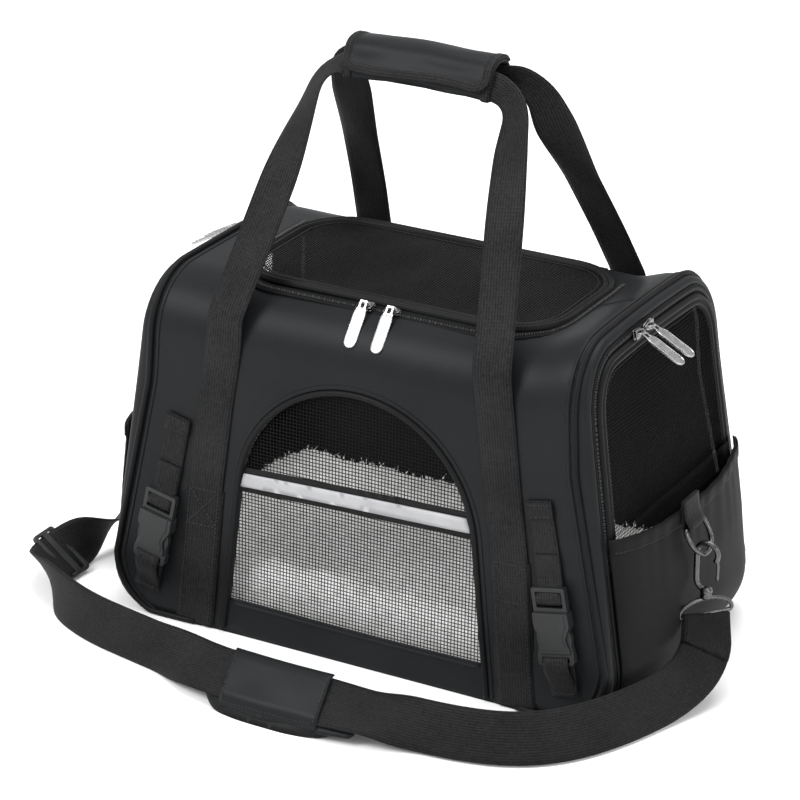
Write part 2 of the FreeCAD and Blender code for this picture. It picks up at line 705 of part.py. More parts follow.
def flat_strap(label, points):
    """A strap standing on edge along a rounded path. Its section is swept with its width kept upright."""
    path = rounded_path(points)
    start = path.Vertexes[0].Point
    heading = Vector(*points[1]) - Vector(*points[0])
    side = Vector(-heading.y, heading.x, 0).normalize() * (size("strap_thickness") / 2)
    up = Vector(0, 0, half_strap)
    corners = [start + side + up, start + side - up, start - side - up, start - side + up]
    section = Part.makePolygon(corners + corners[:1])
    sweep = Part.BRepOffsetAPI.MakePipeShell(path)
    sweep.setBiNormalMode(Vector(0, 0, 1))
    sweep.add(section)
    sweep.build()
    sweep.makeSolid()
    solid = sweep.shape()
    level = path.Length * size("strap_width") * size("strap_thickness")
    print(f"strap length {path.Length:.0f} mm, volume {solid.Volume:.0f} against {level:.0f} mm3")
    feature = doc.addObject("Part::Feature", label)
    feature.Shape = solid
    return keep(label, feature)


flat_strap("shoulder_strap", strap_route)

pad_centre = (0, -208.2, 24)
pad_block = box("shoulder_pad_block", "126", "15.4", "47", pad_centre)
pad_slot = box("shoulder_pad_slot", "140", "9.4", "39.6", (pad_centre[0], pad_centre[1], 0.05 + 39.6 / 2))
keep("shoulder_pad", combine("Cut", "shoulder_pad", pad_block, pad_slot))

glide_turn = Rotation(Vector(0, 0, 1), 83)
glide_spot = Vector(-282.6, -94, 23)
glide_frame = box("tri_glide_frame", "24", "3", "45", glide_spot, glide_turn)
glide_slots = [box(f"tri_glide_slot_{n}", "5", "8", "39.4", glide_spot + glide_turn.multVec(Vector(x, 0, 0)),
                   glide_turn) for n, x in enumerate((-5.5, 5.5))]
keep("tri_glide", combine("Cut", "tri_glide", glide_frame, fuse("tri_glide_slots", *glide_slots)))

# ---------------------------------------------------------------- check and export

doc.recompute()
for thing in doc.Objects:
    if "Invalid" in thing.State or "Error" in thing.State:
        raise RuntimeError(f"{thing.Label} failed: {thing.State}")
os.makedirs("parts", exist_ok=True)
for label, thing in nodes.items():
    shape = thing.Shape
    if shape.isNull() or not shape.isValid() or shape.Volume <= 0:
        raise RuntimeError(f"{label} has no valid shape")
    shape.exportStep(f"parts/{label}.step")
    print(f"{label}: {len(shape.Solids)} solid(s), {shape.Volume / 1000:.2f} cm3")
print(len(nodes), "nodes")
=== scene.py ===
import json
import math

import bpy
import numpy as np
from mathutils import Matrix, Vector
from mathutils.geometry import delaunay_2d_cdt


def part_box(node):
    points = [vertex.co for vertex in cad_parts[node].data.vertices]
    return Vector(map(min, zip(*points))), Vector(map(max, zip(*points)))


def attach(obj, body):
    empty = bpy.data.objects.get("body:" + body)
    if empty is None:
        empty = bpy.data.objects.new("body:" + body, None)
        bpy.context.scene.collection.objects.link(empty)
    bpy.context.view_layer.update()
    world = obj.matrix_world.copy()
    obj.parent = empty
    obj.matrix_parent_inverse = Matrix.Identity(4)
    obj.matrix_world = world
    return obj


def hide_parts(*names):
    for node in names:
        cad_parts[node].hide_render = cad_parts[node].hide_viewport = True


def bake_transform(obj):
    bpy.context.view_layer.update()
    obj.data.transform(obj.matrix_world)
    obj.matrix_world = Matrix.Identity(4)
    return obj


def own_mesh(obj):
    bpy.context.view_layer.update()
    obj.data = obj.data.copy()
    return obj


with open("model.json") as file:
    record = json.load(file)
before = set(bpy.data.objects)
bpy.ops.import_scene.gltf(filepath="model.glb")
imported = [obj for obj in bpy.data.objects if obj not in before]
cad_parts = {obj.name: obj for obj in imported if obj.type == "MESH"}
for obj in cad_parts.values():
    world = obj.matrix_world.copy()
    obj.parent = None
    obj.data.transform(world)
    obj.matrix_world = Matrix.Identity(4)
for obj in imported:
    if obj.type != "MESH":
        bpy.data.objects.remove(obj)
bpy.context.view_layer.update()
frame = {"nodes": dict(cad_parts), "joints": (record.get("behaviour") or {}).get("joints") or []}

# Soft-sided pet carrier bag. Shapes are worked out in millimetres in the CAD frame
# (+X to the bag's right, -Y to its front, +Z up) and scaled to metres when a mesh is made.

MM = 0.001
rng = np.random.default_rng(11)
SIDES = (("left", -1), ("right", 1))

# ------------------------------------------------------------------ camera, floor and light


def aim(thing, spot, target):
    thing.location = spot
    thing.rotation_mode = "QUATERNION"
    thing.rotation_quaternion = (Vector(target) - Vector(spot)).to_track_quat("-Z", "Y")


CAMERA_AZIMUTH, CAMERA_ELEVATION = math.radians(29.29), math.radians(24.1)
CAMERA_DISTANCE, CAMERA_TARGET = 2.670, Vector((0, 0, 0.150))


def make_camera():
    data = bpy.data.cameras.new("camera")
    data.sensor_width = 36
    data.lens = 160.6
    data.shift_x, data.shift_y = -0.0374, 0.0296
    camera = bpy.data.objects.new("camera", data)
    bpy.context.scene.collection.objects.link(camera)
    back = Vector((math.sin(CAMERA_AZIMUTH) * math.cos(CAMERA_ELEVATION),
                   -math.cos(CAMERA_AZIMUTH) * math.cos(CAMERA_ELEVATION), math.sin(CAMERA_ELEVATION)))
    aim(camera, CAMERA_TARGET + back * CAMERA_DISTANCE, CAMERA_TARGET)
    bpy.context.scene.camera = camera


def area_light(name, spot, target, across, watts):
    data = bpy.data.lights.new(name, "AREA")
    data.shape = "DISK"
    data.size = across
    data.energy = watts
    light = bpy.data.objects.new(name, data)
    bpy.context.scene.collection.objects.link(light)
    aim(light, spot, target)


def make_light():
    bpy.context.scene.view_settings.view_transform = "Standard"
    world = bpy.data.worlds.new("studio")
    world.use_nodes = True
    background = world.node_tree.nodes["Background"]
    background.inputs["Color"].default_value = (1, 1, 1, 1)
    background.inputs["Strength"].default_value = 0.85
    bpy.context.scene.world = world
    area_light("key_light", (-1.3, -1.9, 2.2), (0, 0, 0.15), 1.6, 70)
    area_light("top_light", (0.2, 0.5, 2.6), (0, 0, 0.2), 2.0, 55)
    area_light("side_light", (2.4, -0.6, 1.2), (0.1, 0, 0.15), 1.2, 22)


# ------------------------------------------------------------------ materials


def add(tree, kind, sockets=None, **settings):
    node = tree.nodes.new("ShaderNode" + kind)
    for key, value in settings.items():
        setattr(node, key, value)
    for key, value in (sockets or {}).items():
        if isinstance(value, bpy.types.NodeSocket):
            tree.links.new(value, node.inputs[key])
        else:
            node.inputs[key].default_value = value
    return node


def shader(name, **fixed):
    """A material with one Principled shader, its constants set on the shader's own sockets."""
    made = bpy.data.materials.new(name)
    made.use_nodes = True
    tree = made.node_tree
    surface = tree.nodes["Principled BSDF"]
    for key, value in fixed.items():
        surface.inputs[key.replace("_", " ")].default_value = value
    return made, tree, surface


def arithmetic(tree, operation, first, second=0.0):
    return add(tree, "Math", {0: first, 1: second}, operation=operation).outputs[0]


def ramp(tree, factor, low, high, start=0.0, stop=1.0):
    """A colour between two greys or colours as a factor goes from start to stop."""
    node = add(tree, "ValToRGB", {"Fac": factor})
    for element, spot, colour in zip(node.color_ramp.elements, (start, stop), (low, high)):
        element.position = spot
        element.color = (*colour, 1)
    return node.outputs["Color"]


def noise_of(tree, scale, detail=3.0, vector=None):
    place = vector or add(tree, "TexCoord").outputs["Object"]
    return add(tree, "TexNoise", {"Vector": place, "Scale": scale, "Detail": detail}).outputs["Fac"]


def bump(tree, surface, height, strength, distance):
    node = add(tree, "Bump", {"Height": height, "Strength": strength, "Distance": distance})
    tree.links.new(node.outputs["Normal"], surface.inputs["Normal"])


def grey(value, blue=1.0):
    return (value, value * (1 + (blue - 1) * 0.4), value * blue)


def cloth_material(name, dark, light, roughness, blue=1.1, grain=900, sheen=0.01):
    """Close woven cloth: a fine grain over slow changes of shade."""
    made, tree, surface = shader(name, Roughness=roughness, Sheen_Weight=sheen, Sheen_Roughness=0.45,
                                 Specular_IOR_Level=0.10)
    slow = noise_of(tree, 16, 4)
    fine = noise_of(tree, grain, 2)
    mixed = arithmetic(tree, "ADD", arithmetic(tree, "MULTIPLY", slow, 0.55),
                       arithmetic(tree, "MULTIPLY", fine, 0.45))
    colour = ramp(tree, mixed, grey(dark, blue), grey(light, blue), 0.3, 0.7)
    tree.links.new(colour, surface.inputs["Base Color"])
    bump(tree, surface, fine, 0.35, 0.0003)
    return made


def webbing_material(name, dark, light, rib=1.6, pick=1.9):
    """Ribbed tape: lengthwise ribs crossed by picks, laid out along the tape's own length."""
    made, tree, surface = shader(name, Roughness=0.62, Sheen_Weight=0.01, Sheen_Roughness=0.4,
                                 Specular_IOR_Level=0.12)
    flat = add(tree, "SeparateXYZ", {"Vector": add(tree, "UVMap", uv_map="weave").outputs["UV"]})
    turns = 2 * math.pi
    across = arithmetic(tree, "SINE", arithmetic(tree, "MULTIPLY", flat.outputs["X"], turns / rib))
    along = arithmetic(tree, "SINE", arithmetic(tree, "MULTIPLY", flat.outputs["Y"], turns / pick))
    weave = arithmetic(tree, "MULTIPLY", across, along)
    ribs = arithmetic(tree, "ADD", arithmetic(tree, "MULTIPLY", weave, 0.28),
                      arithmetic(tree, "MULTIPLY", across, 0.22))
    stray = noise_of(tree, 420, 2)
    height = arithmetic(tree, "ADD", arithmetic(tree, "ADD", ribs, 0.25), stray)
    slow = noise_of(tree, 22, 2)
    # The colour follows the rib height: painted shade in the weave's valleys and painted highlight on the
    # raised crossings, varied by fine and slow random tone.
    shade = arithmetic(tree, "MULTIPLY", height, arithmetic(tree, "ADD", slow, 0.5))
    colour = ramp(tree, shade, grey(dark, 1.02), grey(light, 1.0), 0.35, 0.95)
    tree.links.new(colour, surface.inputs["Base Color"])
    bump(tree, surface, height, 0.6, 0.0005)
    return made


def metal_material(name, shade, roughness, scratch=0.25):
    made, tree, surface = shader(name, Metallic=1.0)
    worn = noise_of(tree, 260, 4)
    colour = ramp(tree, worn, grey(shade * 0.8), grey(shade * 1.15), 0.3, 0.7)
    tree.links.new(colour, surface.inputs["Base Color"])
    rough = ramp(tree, worn, grey(roughness * 0.7), grey(roughness * 1.3), 0.3, 0.7)
    tree.links.new(rough, surface.inputs["Roughness"])
    bump(tree, surface, noise_of(tree, 1500, 2), scratch, 0.0001)
    return made


def plastic_material(name, shade, roughness):
    made, tree, surface = shader(name, Specular_IOR_Level=0.3)
    mottle = noise_of(tree, 90, 4)
    colour = ramp(tree, mottle, grey(shade * 0.85, 1.1), grey(shade * 1.2, 1.1), 0.3, 0.7)
    tree.links.new(colour, surface.inputs["Base Color"])
    rough = ramp(tree, mottle, grey(roughness * 0.85), grey(roughness * 1.2), 0.3, 0.7)
    tree.links.new(rough, surface.inputs["Roughness"])
    bump(tree, surface, noise_of(tree, 2200, 2), 0.2, 0.0001)
    return made


def fleece_material(name):
    # The emission makes the fleece glow faintly: painted light that brightens the white mat beyond what the
    # lamps give.
    made, tree, surface = shader(name, Roughness=0.95, Sheen_Weight=0.3, Sheen_Roughness=0.6,
                                 Emission_Color=(1.0, 0.99, 0.97, 1.0), Emission_Strength=0.22)
    clump = noise_of(tree, 120, 5)
    colour = ramp(tree, clump, (0.66, 0.65, 0.63), (0.93, 0.93, 0.92), 0.3, 0.62)
    tree.links.new(colour, surface.inputs["Base Color"])
    bump(tree, surface, clump, 0.8, 0.002)
    return made


def reflective_material(name):
    """Reflective ribbon: a pale grey face with a fine diamond emboss."""
    made, tree, surface = shader(name, Roughness=0.38, Specular_IOR_Level=0.6)
    flat = add(tree, "SeparateXYZ", {"Vector": add(tree, "UVMap", uv_map="weave").outputs["UV"]})
    waves = []
    for sign in (1.0, -1.0):
        line = arithmetic(tree, "ADD", flat.outputs["X"],
                          arithmetic(tree, "MULTIPLY", flat.outputs["Y"], sign))
        waves.append(arithmetic(tree, "SINE", arithmetic(tree, "MULTIPLY", line, 4.2)))
    emboss = arithmetic(tree, "MULTIPLY", *waves)
    shade = arithmetic(tree, "ADD", arithmetic(tree, "MULTIPLY", emboss, 0.12), noise_of(tree, 60, 3))
    colour = ramp(tree, shade, (0.30, 0.30, 0.31), (0.38, 0.38, 0.395), 0.25, 0.75)
    tree.links.new(colour, surface.inputs["Base Color"])
    bump(tree, surface, emboss, 0.25, 0.0002)
    return made


NYLON = cloth_material("nylon_cloth", 0.0070, 0.0115, 0.44, blue=1.22)
NYLON_POCKET = cloth_material("pocket_cloth", 0.003, 0.006, 0.62, blue=1.05)
BINDING = cloth_material("binding_cloth", 0.0045, 0.009, 0.5, blue=1.05, grain=700)
TAPE = cloth_material("zip_tape_cloth", 0.004, 0.008, 0.7, blue=1.0, grain=600)
WEBBING = webbing_material("webbing_weave", 0.0015, 0.016, rib=2.2, pick=2.6)
STRAP = webbing_material("strap_weave", 0.0012, 0.012, rib=2.0, pick=2.4)
RIBBON = webbing_material("ribbon_weave", 0.006, 0.014, rib=0.8, pick=0.8)
NET = cloth_material("net_thread", 0.003, 0.008, 0.5, blue=1.0, grain=500, sheen=0.0)
# The lid's net thread is lighter than the side nets' thread: painted light on the upward-facing roof net.
LID_NET = cloth_material("lid_net_thread", 0.008, 0.018, 0.5, blue=1.0, grain=500, sheen=0.0)
THREAD = cloth_material("stitch_thread", 0.022, 0.055, 0.5, blue=1.0, grain=1500)
COIL = plastic_material("zip_coil_plastic", 0.009, 0.22)
PLASTIC = plastic_material("buckle_plastic", 0.014, 0.42)
DARK_METAL = metal_material("gunmetal", 0.10, 0.3)
SILVER = metal_material("pull_silver", 0.36, 0.26)
SLIDER_METAL = metal_material("slider_metal", 0.24, 0.22)
FLEECE = fleece_material("deep_fleece")
REFLECTIVE = reflective_material("reflective_face")
BOARD = plastic_material("board_plastic", 0.05, 0.7)

# ------------------------------------------------------------------ mesh helpers


def unit(vectors):
    return vectors / np.maximum(np.linalg.norm(vectors, axis=-1, keepdims=True), 1e-9)


def smooth(share):
    share = np.clip(share, 0, 1)
    return share * share * (3 - 2 * share)


def ripple(a, b, seed=0.0):
    """Slow waves of cloth, between about -1 and 1, over two coordinates that are 1 apart per wave."""
    a, b = np.asarray(a) * 2 * math.pi, np.asarray(b) * 2 * math.pi
    return (np.sin(a + 1.3 * np.sin(0.7 * b + seed)) + np.sin(1.31 * b + 1.1 * np.sin(0.83 * a + 2 * seed))
            + np.sin(0.77 * (a - b) + 3 * seed)) / 3


def join(parts):
    """One list of points, faces and weave coordinates from several."""
    points, faces, weave, base = [], [], [], 0
    for p, f, w in parts:
        points.append(p)
        weave.append(w)
        faces += [tuple(i + base for i in face) for face in f]
        base += len(p)
    return np.concatenate(points), faces, np.concatenate(weave)


def piece(name, form, material, body="root", nodes=()):
    """Makes a Blender object from points in millimetres, faces and weave coordinates."""
    points, faces, weave = form
    mesh = bpy.data.meshes.new(name)
    mesh.from_pydata((np.asarray(points, float) * MM).tolist(), [], [tuple(int(i) for i in f) for f in faces])
    mesh.update()
    layer = mesh.uv_layers.new(name="weave")
    corner = np.zeros(len(mesh.loops), np.int32)
    mesh.loops.foreach_get("vertex_index", corner)
    layer.data.foreach_set("uv", np.asarray(weave, np.float32)[corner].ravel())
    mesh.polygons.foreach_set("use_smooth", [True] * len(mesh.polygons))
    mesh.materials.append(material)
    made = bpy.data.objects.new(name, mesh)
    bpy.context.scene.collection.objects.link(made)
    if body:
        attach(made, body)
    if nodes:
        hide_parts(*nodes)
    return made


def bevelled(made, width, segments=2):
    modifier = made.modifiers.new("bevel", "BEVEL")
    modifier.width = width * MM
    modifier.segments = segments
    modifier.limit_method = "ANGLE"
    modifier.angle_limit = math.radians(40)
    modifier.harden_normals = True
    return made


def resample(line, step, closed=True):
    """Points about a step apart along a line, its corners kept."""
    line = np.asarray(line, float)
    following = np.roll(line, -1, axis=0) if closed else line[1:]
    out = []
    for start, stop in zip(line, following):
        count = max(1, int(math.ceil(np.linalg.norm(stop - start) / step)))
        out += [start + (stop - start) * i / count for i in range(count)]
    if not closed:
        out.append(line[-1])
    return np.array(out)


def soften(line, rounds, closed=True):
    """Rounds a line's corners by averaging each point with its neighbours."""
    line = np.array(line, float)
    for _ in range(rounds):
        around = (np.roll(line, 1, axis=0) + np.roll(line, -1, axis=0)) / 2
        if not closed:
            around[0], around[-1] = line[0], line[-1]
        line = (line + around) / 2
    return line


def arc(centre, radius, start, stop, count=10):
    turns = np.radians(np.linspace(start, stop, count))
    return [(centre[0] + radius * math.cos(t), centre[1] + radius * math.sin(t)) for t in turns]


def rounded(half_x, half_y, corner, count=9):
    """A rounded rectangle about the origin, anticlockwise from its lower right corner."""
    out = []
    for sx, sy, start in ((1, -1, -90), (1, 1, 0), (-1, 1, 90), (-1, -1, 180)):
        out += arc((sx * (half_x - corner), sy * (half_y - corner)), corner, start, start + 90, count)
    return out


def inside(points, loops):
    """Whether each point is inside an outline and outside its holes."""
    x, y = points[:, 0], points[:, 1]
    crossings = np.zeros(len(points), int)
    for loop in loops:
        loop = np.asarray(loop)
        for (x1, y1), (x2, y2) in zip(loop, np.roll(loop, -1, axis=0)):
            if y1 == y2:
                continue
            spans = (y1 > y) != (y2 > y)
            crossings += spans & (x < (x2 - x1) * (y - y1) / (y2 - y1) + x1)
    return crossings % 2 == 1


def fill(loops, step):
    """Even triangles over a flat outline with holes."""
    rims = [resample(loop, step) for loop in loops]
    rim = np.concatenate(rims)
    edges, base = [], 0
    for loop in rims:
        edges += [(base + i, base + (i + 1) % len(loop)) for i in range(len(loop))]
        base += len(loop)
    low, high = rim.min(axis=0), rim.max(axis=0)
    rows = []
    for row, y in enumerate(np.arange(low[1] + step * 0.5, high[1], step * 0.866)):
        xs = np.arange(low[0] + step * (0.5 + 0.5 * (row % 2)), high[0], step)
        rows.append(np.stack([xs, np.full(len(xs), y)], axis=1))
    grid = np.concatenate(rows or [np.zeros((0, 2))])
    grid = grid[inside(grid, rims)] if len(grid) else grid
    gaps = np.full(len(grid), 1e9)
    for spot in rim:
        gaps = np.minimum(gaps, (grid[:, 0] - spot[0]) ** 2 + (grid[:, 1] - spot[1]) ** 2)
    grid = grid[gaps > (0.55 * step) ** 2]
    everything = np.concatenate([rim, grid])
    found = delaunay_2d_cdt([Vector(p) for p in everything], edges, [], 0, 1e-6)
    flat = np.array([tuple(p) for p in found[0]])
    faces = np.array([f for f in found[2] if len(f) == 3])
    faces = faces[inside(flat[faces].mean(axis=1), rims)]
    return flat, faces


def boundary(faces):
    """The edges that only one face uses, in that face's direction."""
    count = {}
    for face in faces:
        for a, b in zip(face, np.roll(face, -1)):
            count[(int(a), int(b))] = True
    return [edge for edge in count if (edge[1], edge[0]) not in count]


def skin(loops, place, step, outer, inner):
    """A closed sheet over an outline, between two offsets from a surface. place maps the outline to space."""
    flat, faces = fill(loops, step)
    top, under = place(flat, outer), place(flat, inner)
    turned = np.cross(top[faces[:, 1]] - top[faces[:, 0]], top[faces[:, 2]] - top[faces[:, 0]])
    outward = (top - under)[faces[:, 0]]
    if (turned * outward).sum() < 0:
        faces = faces[:, ::-1]
    count = len(flat)
    walls = [(b, a, a + count, b + count) for a, b in boundary(faces)]
    shape = [tuple(f) for f in faces] + [tuple(f[::-1] + count) for f in faces] + walls
    return np.concatenate([top, under]), shape, np.concatenate([flat, flat])


def flat_area(loops):
    """The area of an outline less its holes, in square metres."""
    total = 0
    for number, loop in enumerate(loops):
        x, y = np.asarray(loop, float).T
        area = abs((x * np.roll(y, -1) - y * np.roll(x, -1)).sum()) / 2
        total += area if number == 0 else -area
    return total * MM * MM


def frame_along(path, normal, closed=False):
    """Side and normal directions along a path, from rough normals."""
    if closed:
        heading = unit(np.roll(path, -1, axis=0) - np.roll(path, 1, axis=0))
    else:
        heading = unit(np.gradient(path, axis=0))
    side = unit(np.cross(normal, heading))
    return side, unit(np.cross(heading, side))


def sweep(path, side, up, section, closed=False):
    """A section carried along a path. The section's first number goes along side and its second along up."""
    path, section = np.asarray(path, float), np.asarray(section, float)
    if section.ndim == 2:
        section = np.broadcast_to(section, (len(path), *section.shape))
    rings = path[:, None] + side[:, None] * section[..., :1] + up[:, None] * section[..., 1:]
    count, around = rings.shape[:2]
    faces = []
    for i in range(count if closed else count - 1):
        a, b = i * around, (i + 1) % count * around
        faces += [(a + j, a + (j + 1) % around, b + (j + 1) % around, b + j) for j in range(around)]
    if not closed:
        faces += [tuple(range(around))[::-1], tuple((count - 1) * around + j for j in range(around))]
    steps = np.linalg.norm(np.diff(path, axis=0), axis=1)
    along = np.concatenate([[0], np.cumsum(steps)])
    weave = np.stack([section[..., 0], np.broadcast_to(along[:, None], (count, around))], axis=2)
    return rings.reshape(-1, 3), faces, weave.reshape(-1, 2)


def on_surface(place, line, offset, closed=False):
    """A path on a surface with its side and normal directions."""
    line = np.asarray(line, float)
    path = place(line, offset)
    normal = unit(place(line, np.asarray(offset) + 1.0) - path)
    return (path, *frame_along(path, normal, closed))


def ring(radius, count=8, flat=1.0):
    turns = np.linspace(0, 2 * math.pi, count, endpoint=False)
    return np.stack([radius * np.cos(turns), radius * flat * np.sin(turns)], axis=1)


def tape_section(width, thickness, columns=6, crown=0.0):
    """A flat tape's section with rounded edges, from one edge to the other and back."""
    across = np.linspace(-1, 1, columns + 1)
    rise = thickness / 2 * np.sqrt(np.clip(1 - np.abs(across) ** 8, 0.15, 1))
    lift = crown * (1 - across ** 2)
    top = np.stack([across * width / 2, rise + lift], axis=1)
    under = np.stack([across * width / 2, -rise + lift], axis=1)[::-1]
    return np.concatenate([under, top])


def ridged_section(width, height, ridges=2):
    """A binding's section: rolled ridges side by side on a flat back."""
    across = np.linspace(-1, 1, 6 * ridges + 1)
    wave = np.abs(np.cos(across * math.pi / 2 * ridges + (math.pi / 2 if ridges % 2 == 0 else 0)))
    top = height * (0.45 + 0.55 * wave ** 0.6)
    top[0], top[-1] = height * 0.1, height * 0.1
    upper = np.stack([across * width / 2, top], axis=1)
    return np.concatenate([[(-width / 2, 0), (width / 2, 0)], upper[::-1]])


def ribbon(place, line, offset, width, thickness, closed=False, section=None, step=4.0):
    """A tape laid on a surface along a line."""
    line = resample(line, step, closed)
    path, side, up = on_surface(place, line, offset, closed)
    return sweep(path, side, up, tape_section(width, thickness) if section is None else section, closed)


def stitches(place, line, offset, pitch=3.2, length=2.1, width=0.5, closed=False):
    """A row of thread stitches on a surface."""
    line = resample(line, 0.8, closed)
    path, side, up = on_surface(place, line, offset, closed)
    along = np.concatenate([[0], np.cumsum(np.linalg.norm(np.diff(path, axis=0), axis=1))])
    parts = []
    for start in np.arange(pitch / 2, along[-1] - length, pitch):
        stations = start + length * np.array([0.0, 0.25, 0.75, 1.0])
        size = np.array([0.35, 1.0, 1.0, 0.35])
        spots = np.stack([np.interp(stations, along, path[:, k]) for k in range(3)], axis=1)
        near = np.searchsorted(along, stations).clip(0, len(path) - 1)
        section = ring(width / 2, 5)[None] * size[:, None, None]
        parts.append(sweep(spots + up[near] * (size[:, None] - 0.6) * width * 0.5, side[near], up[near],
                           section))
    return join(parts)


def coil(place, line, offset, width=3.6, height=1.3, pitch=1.7, closed=False):
    """A zip's coil: close-set loops of wire across a line on a surface."""
    line = resample(line, 1.0, closed)
    path, side, up = on_surface(place, line, offset, closed)
    along = np.concatenate([[0], np.cumsum(np.linalg.norm(np.diff(path, axis=0), axis=1))])
    heading = unit(np.cross(side, up))
    turns = np.radians(np.linspace(0, 180, 7))
    hump = np.stack([np.cos(turns) * width / 2, np.sin(turns) * height], axis=1)
    parts = []
    for start in np.arange(pitch / 2, along[-1], pitch):
        k = int(np.searchsorted(along, start).clip(0, len(path) - 1))
        tooth = []
        for reach, size in ((-0.36, 0.86), (0.0, 1.0), (0.36, 0.86)):
            spot = path[k] + heading[k] * reach * pitch
            tooth.append(spot + side[k] * hump[:, :1] * size + up[k] * hump[:, 1:] * size)
        rings = np.concatenate(tooth)
        faces = [(a + j, a + j + 1, a + 8 + j, a + 7 + j) for a in (0, 7) for j in range(6)]
        faces += [tuple(range(7))[::-1], tuple(range(14, 21)), (0, 7, 14, 20, 13, 6)]
        parts.append((rings, faces, rings[:, :2]))
    return join(parts)


def spans_of(loops, axis, at):
    """Where a straight thread at a coordinate crosses an outline, in pairs."""
    crossings = []
    for loop in loops:
        loop = np.asarray(loop)
        for p, q in zip(loop, np.roll(loop, -1, axis=0)):
            a, b = p[axis], q[axis]
            if (a > at) != (b > at):
                crossings.append(p[1 - axis] + (q[1 - axis] - p[1 - axis]) * (at - a) / (b - a))
    crossings.sort()
    return list(zip(crossings[::2], crossings[1::2]))


def net(loops, place, pitch, thread, offset=0.0, step=7.0, flat=0.6):
    """Woven net: threads both ways, each cut to the outline, one set just over the other."""
    loops = [np.asarray(loop, float) for loop in loops]
    everything = np.concatenate(loops)
    low, high = everything.min(axis=0), everything.max(axis=0)
    parts = []
    for axis in (0, 1):
        lift = offset + (0.5 - axis) * thread * 0.45
        for at in np.arange(low[axis] + pitch / 2, high[axis], pitch):
            for start, stop in spans_of(loops, axis, at):
                if stop - start < pitch * 0.5:
                    continue
                count = max(3, int((stop - start) / step) + 2)
                line = np.zeros((count, 2))
                line[:, 1 - axis] = np.linspace(start, stop, count)
                line[:, axis] = at
                path, side, up = on_surface(place, line, lift)
                parts.append(sweep(path, side, up, ring(thread / 2, 4, flat)))
    return join(parts)


def slab(loops, place, low, high, step=60.0):
    """A flat plate with holes between two offsets."""
    return skin(loops, place, step, high, low)


# ------------------------------------------------------------------ the bag's surfaces

LEAN = math.atan(10 / 226)
FOOT, SHOULDER_HEIGHT, SHOULDER_RADIUS, RIDGE, ROOF = 117.0, 226.0, 44.0, 63.0, 270.0
WALL_RUN = SHOULDER_HEIGHT / math.cos(LEAN)
ARC_RUN = math.pi / 2 * SHOULDER_RADIUS
HALF_RUN = WALL_RUN + ARC_RUN + RIDGE
CORNER = 45.0
CORNER_RUN = CORNER * math.pi / 2
SILL = 140.0
LIFT_RIGHT, LIFT_LEFT = 12.0, 1.0


def arch(run):
    """The shell's section by the distance run from the front foot: y, z and the outward normal."""
    run = np.asarray(run, float)
    back = run > HALF_RUN
    run = np.where(back, 2 * HALF_RUN - run, run)
    turn = np.clip((run - WALL_RUN) / SHOULDER_RADIUS, 0, math.pi / 2)
    on_wall = run < WALL_RUN
    ny = np.where(on_wall, math.cos(LEAN), np.cos(turn))
    nz = np.where(on_wall, math.sin(LEAN), np.sin(turn))
    y = RIDGE + SHOULDER_RADIUS * np.cos(turn) - np.clip(run - WALL_RUN - ARC_RUN, 0, None)
    y = np.where(on_wall, FOOT - run * math.sin(LEAN), y)
    z = np.where(on_wall, run * math.cos(LEAN), SHOULDER_HEIGHT + SHOULDER_RADIUS * np.sin(turn))
    sign = np.where(back, 1.0, -1.0)
    return sign * y, z, sign * ny, nz


def tuck(z):
    below = np.clip(CORNER - np.asarray(z, float), 0, CORNER)
    return CORNER - np.sqrt(CORNER ** 2 - below ** 2)


def end_line(z):
    """How far out the shell's piped edge is at a height."""
    z = np.asarray(z, float)
    straight = np.where(z < 190, 216 - 39 * z / 190, 177 - 5 * (z - 190) / 80)
    return straight - tuck(z)


def end_face(z):
    return 217 - 0.14 * np.asarray(z, float) - tuck(z)


def settle(points):
    """The stiffened ends stand a little higher than the roof between them."""
    lift = np.where(points[:, 0] > 0, LIFT_RIGHT, LIFT_LEFT) * (1 - 0.35 * (points[:, 1] / 100) ** 2)
    points[:, 2] += lift * smooth((np.abs(points[:, 0]) - 128) / 40) * smooth((points[:, 2] - 200) / 60)
    return points


def puff(x, run):
    """How far the padded cloth stands off its flat shape."""
    free = smooth((185 - np.abs(x)) / 45) * smooth((run - 2) / 30) * smooth((2 * HALF_RUN - 2 - run) / 30)
    low_corner = 2.5 * np.exp(-((np.abs(x) - 165) / 30) ** 2) * np.exp(-((run - 30) / 30) ** 2)
    return free * 1.3 * ripple(x / 210, run / 170, 0.6) + low_corner


def shell(flat, offset):
    """The padded shell: across the bag by X, and by the run over its arch from the front foot."""
    x, run = np.asarray(flat, float).T
    y, z, ny, nz = arch(run)
    out = offset + puff(x, run)
    return settle(np.stack([x, y + ny * out, z + nz * out], axis=1))


def wall(flat, offset, back=False):
    """The leaning front or rear wall carried on straight above the shoulder."""
    x, up = np.asarray(flat, float).T
    run = 2 * HALF_RUN - up if back else up
    out = offset + puff(x, run) * smooth((240 - up) / 30)
    y = -FOOT + up * math.sin(LEAN) - out * math.cos(LEAN)
    z = up * math.cos(LEAN) + out * math.sin(LEAN)
    return np.stack([x, -y if back else y, z], axis=1)


def plan(flat, offset):
    """The roof seen from above: x and y, dropped onto the shell."""
    x, y = np.asarray(flat, float).T
    over = np.clip(np.abs(y) - RIDGE, 0, SHOULDER_RADIUS - 1)
    turn = math.pi / 2 - np.arcsin(over / SHOULDER_RADIUS)
    ny, nz = np.sign(y) * np.cos(turn) * (over > 0), np.sin(turn)
    z = SHOULDER_HEIGHT + SHOULDER_RADIUS * np.sin(turn)
    return settle(np.stack([x, y + ny * offset, z + nz * offset], axis=1))


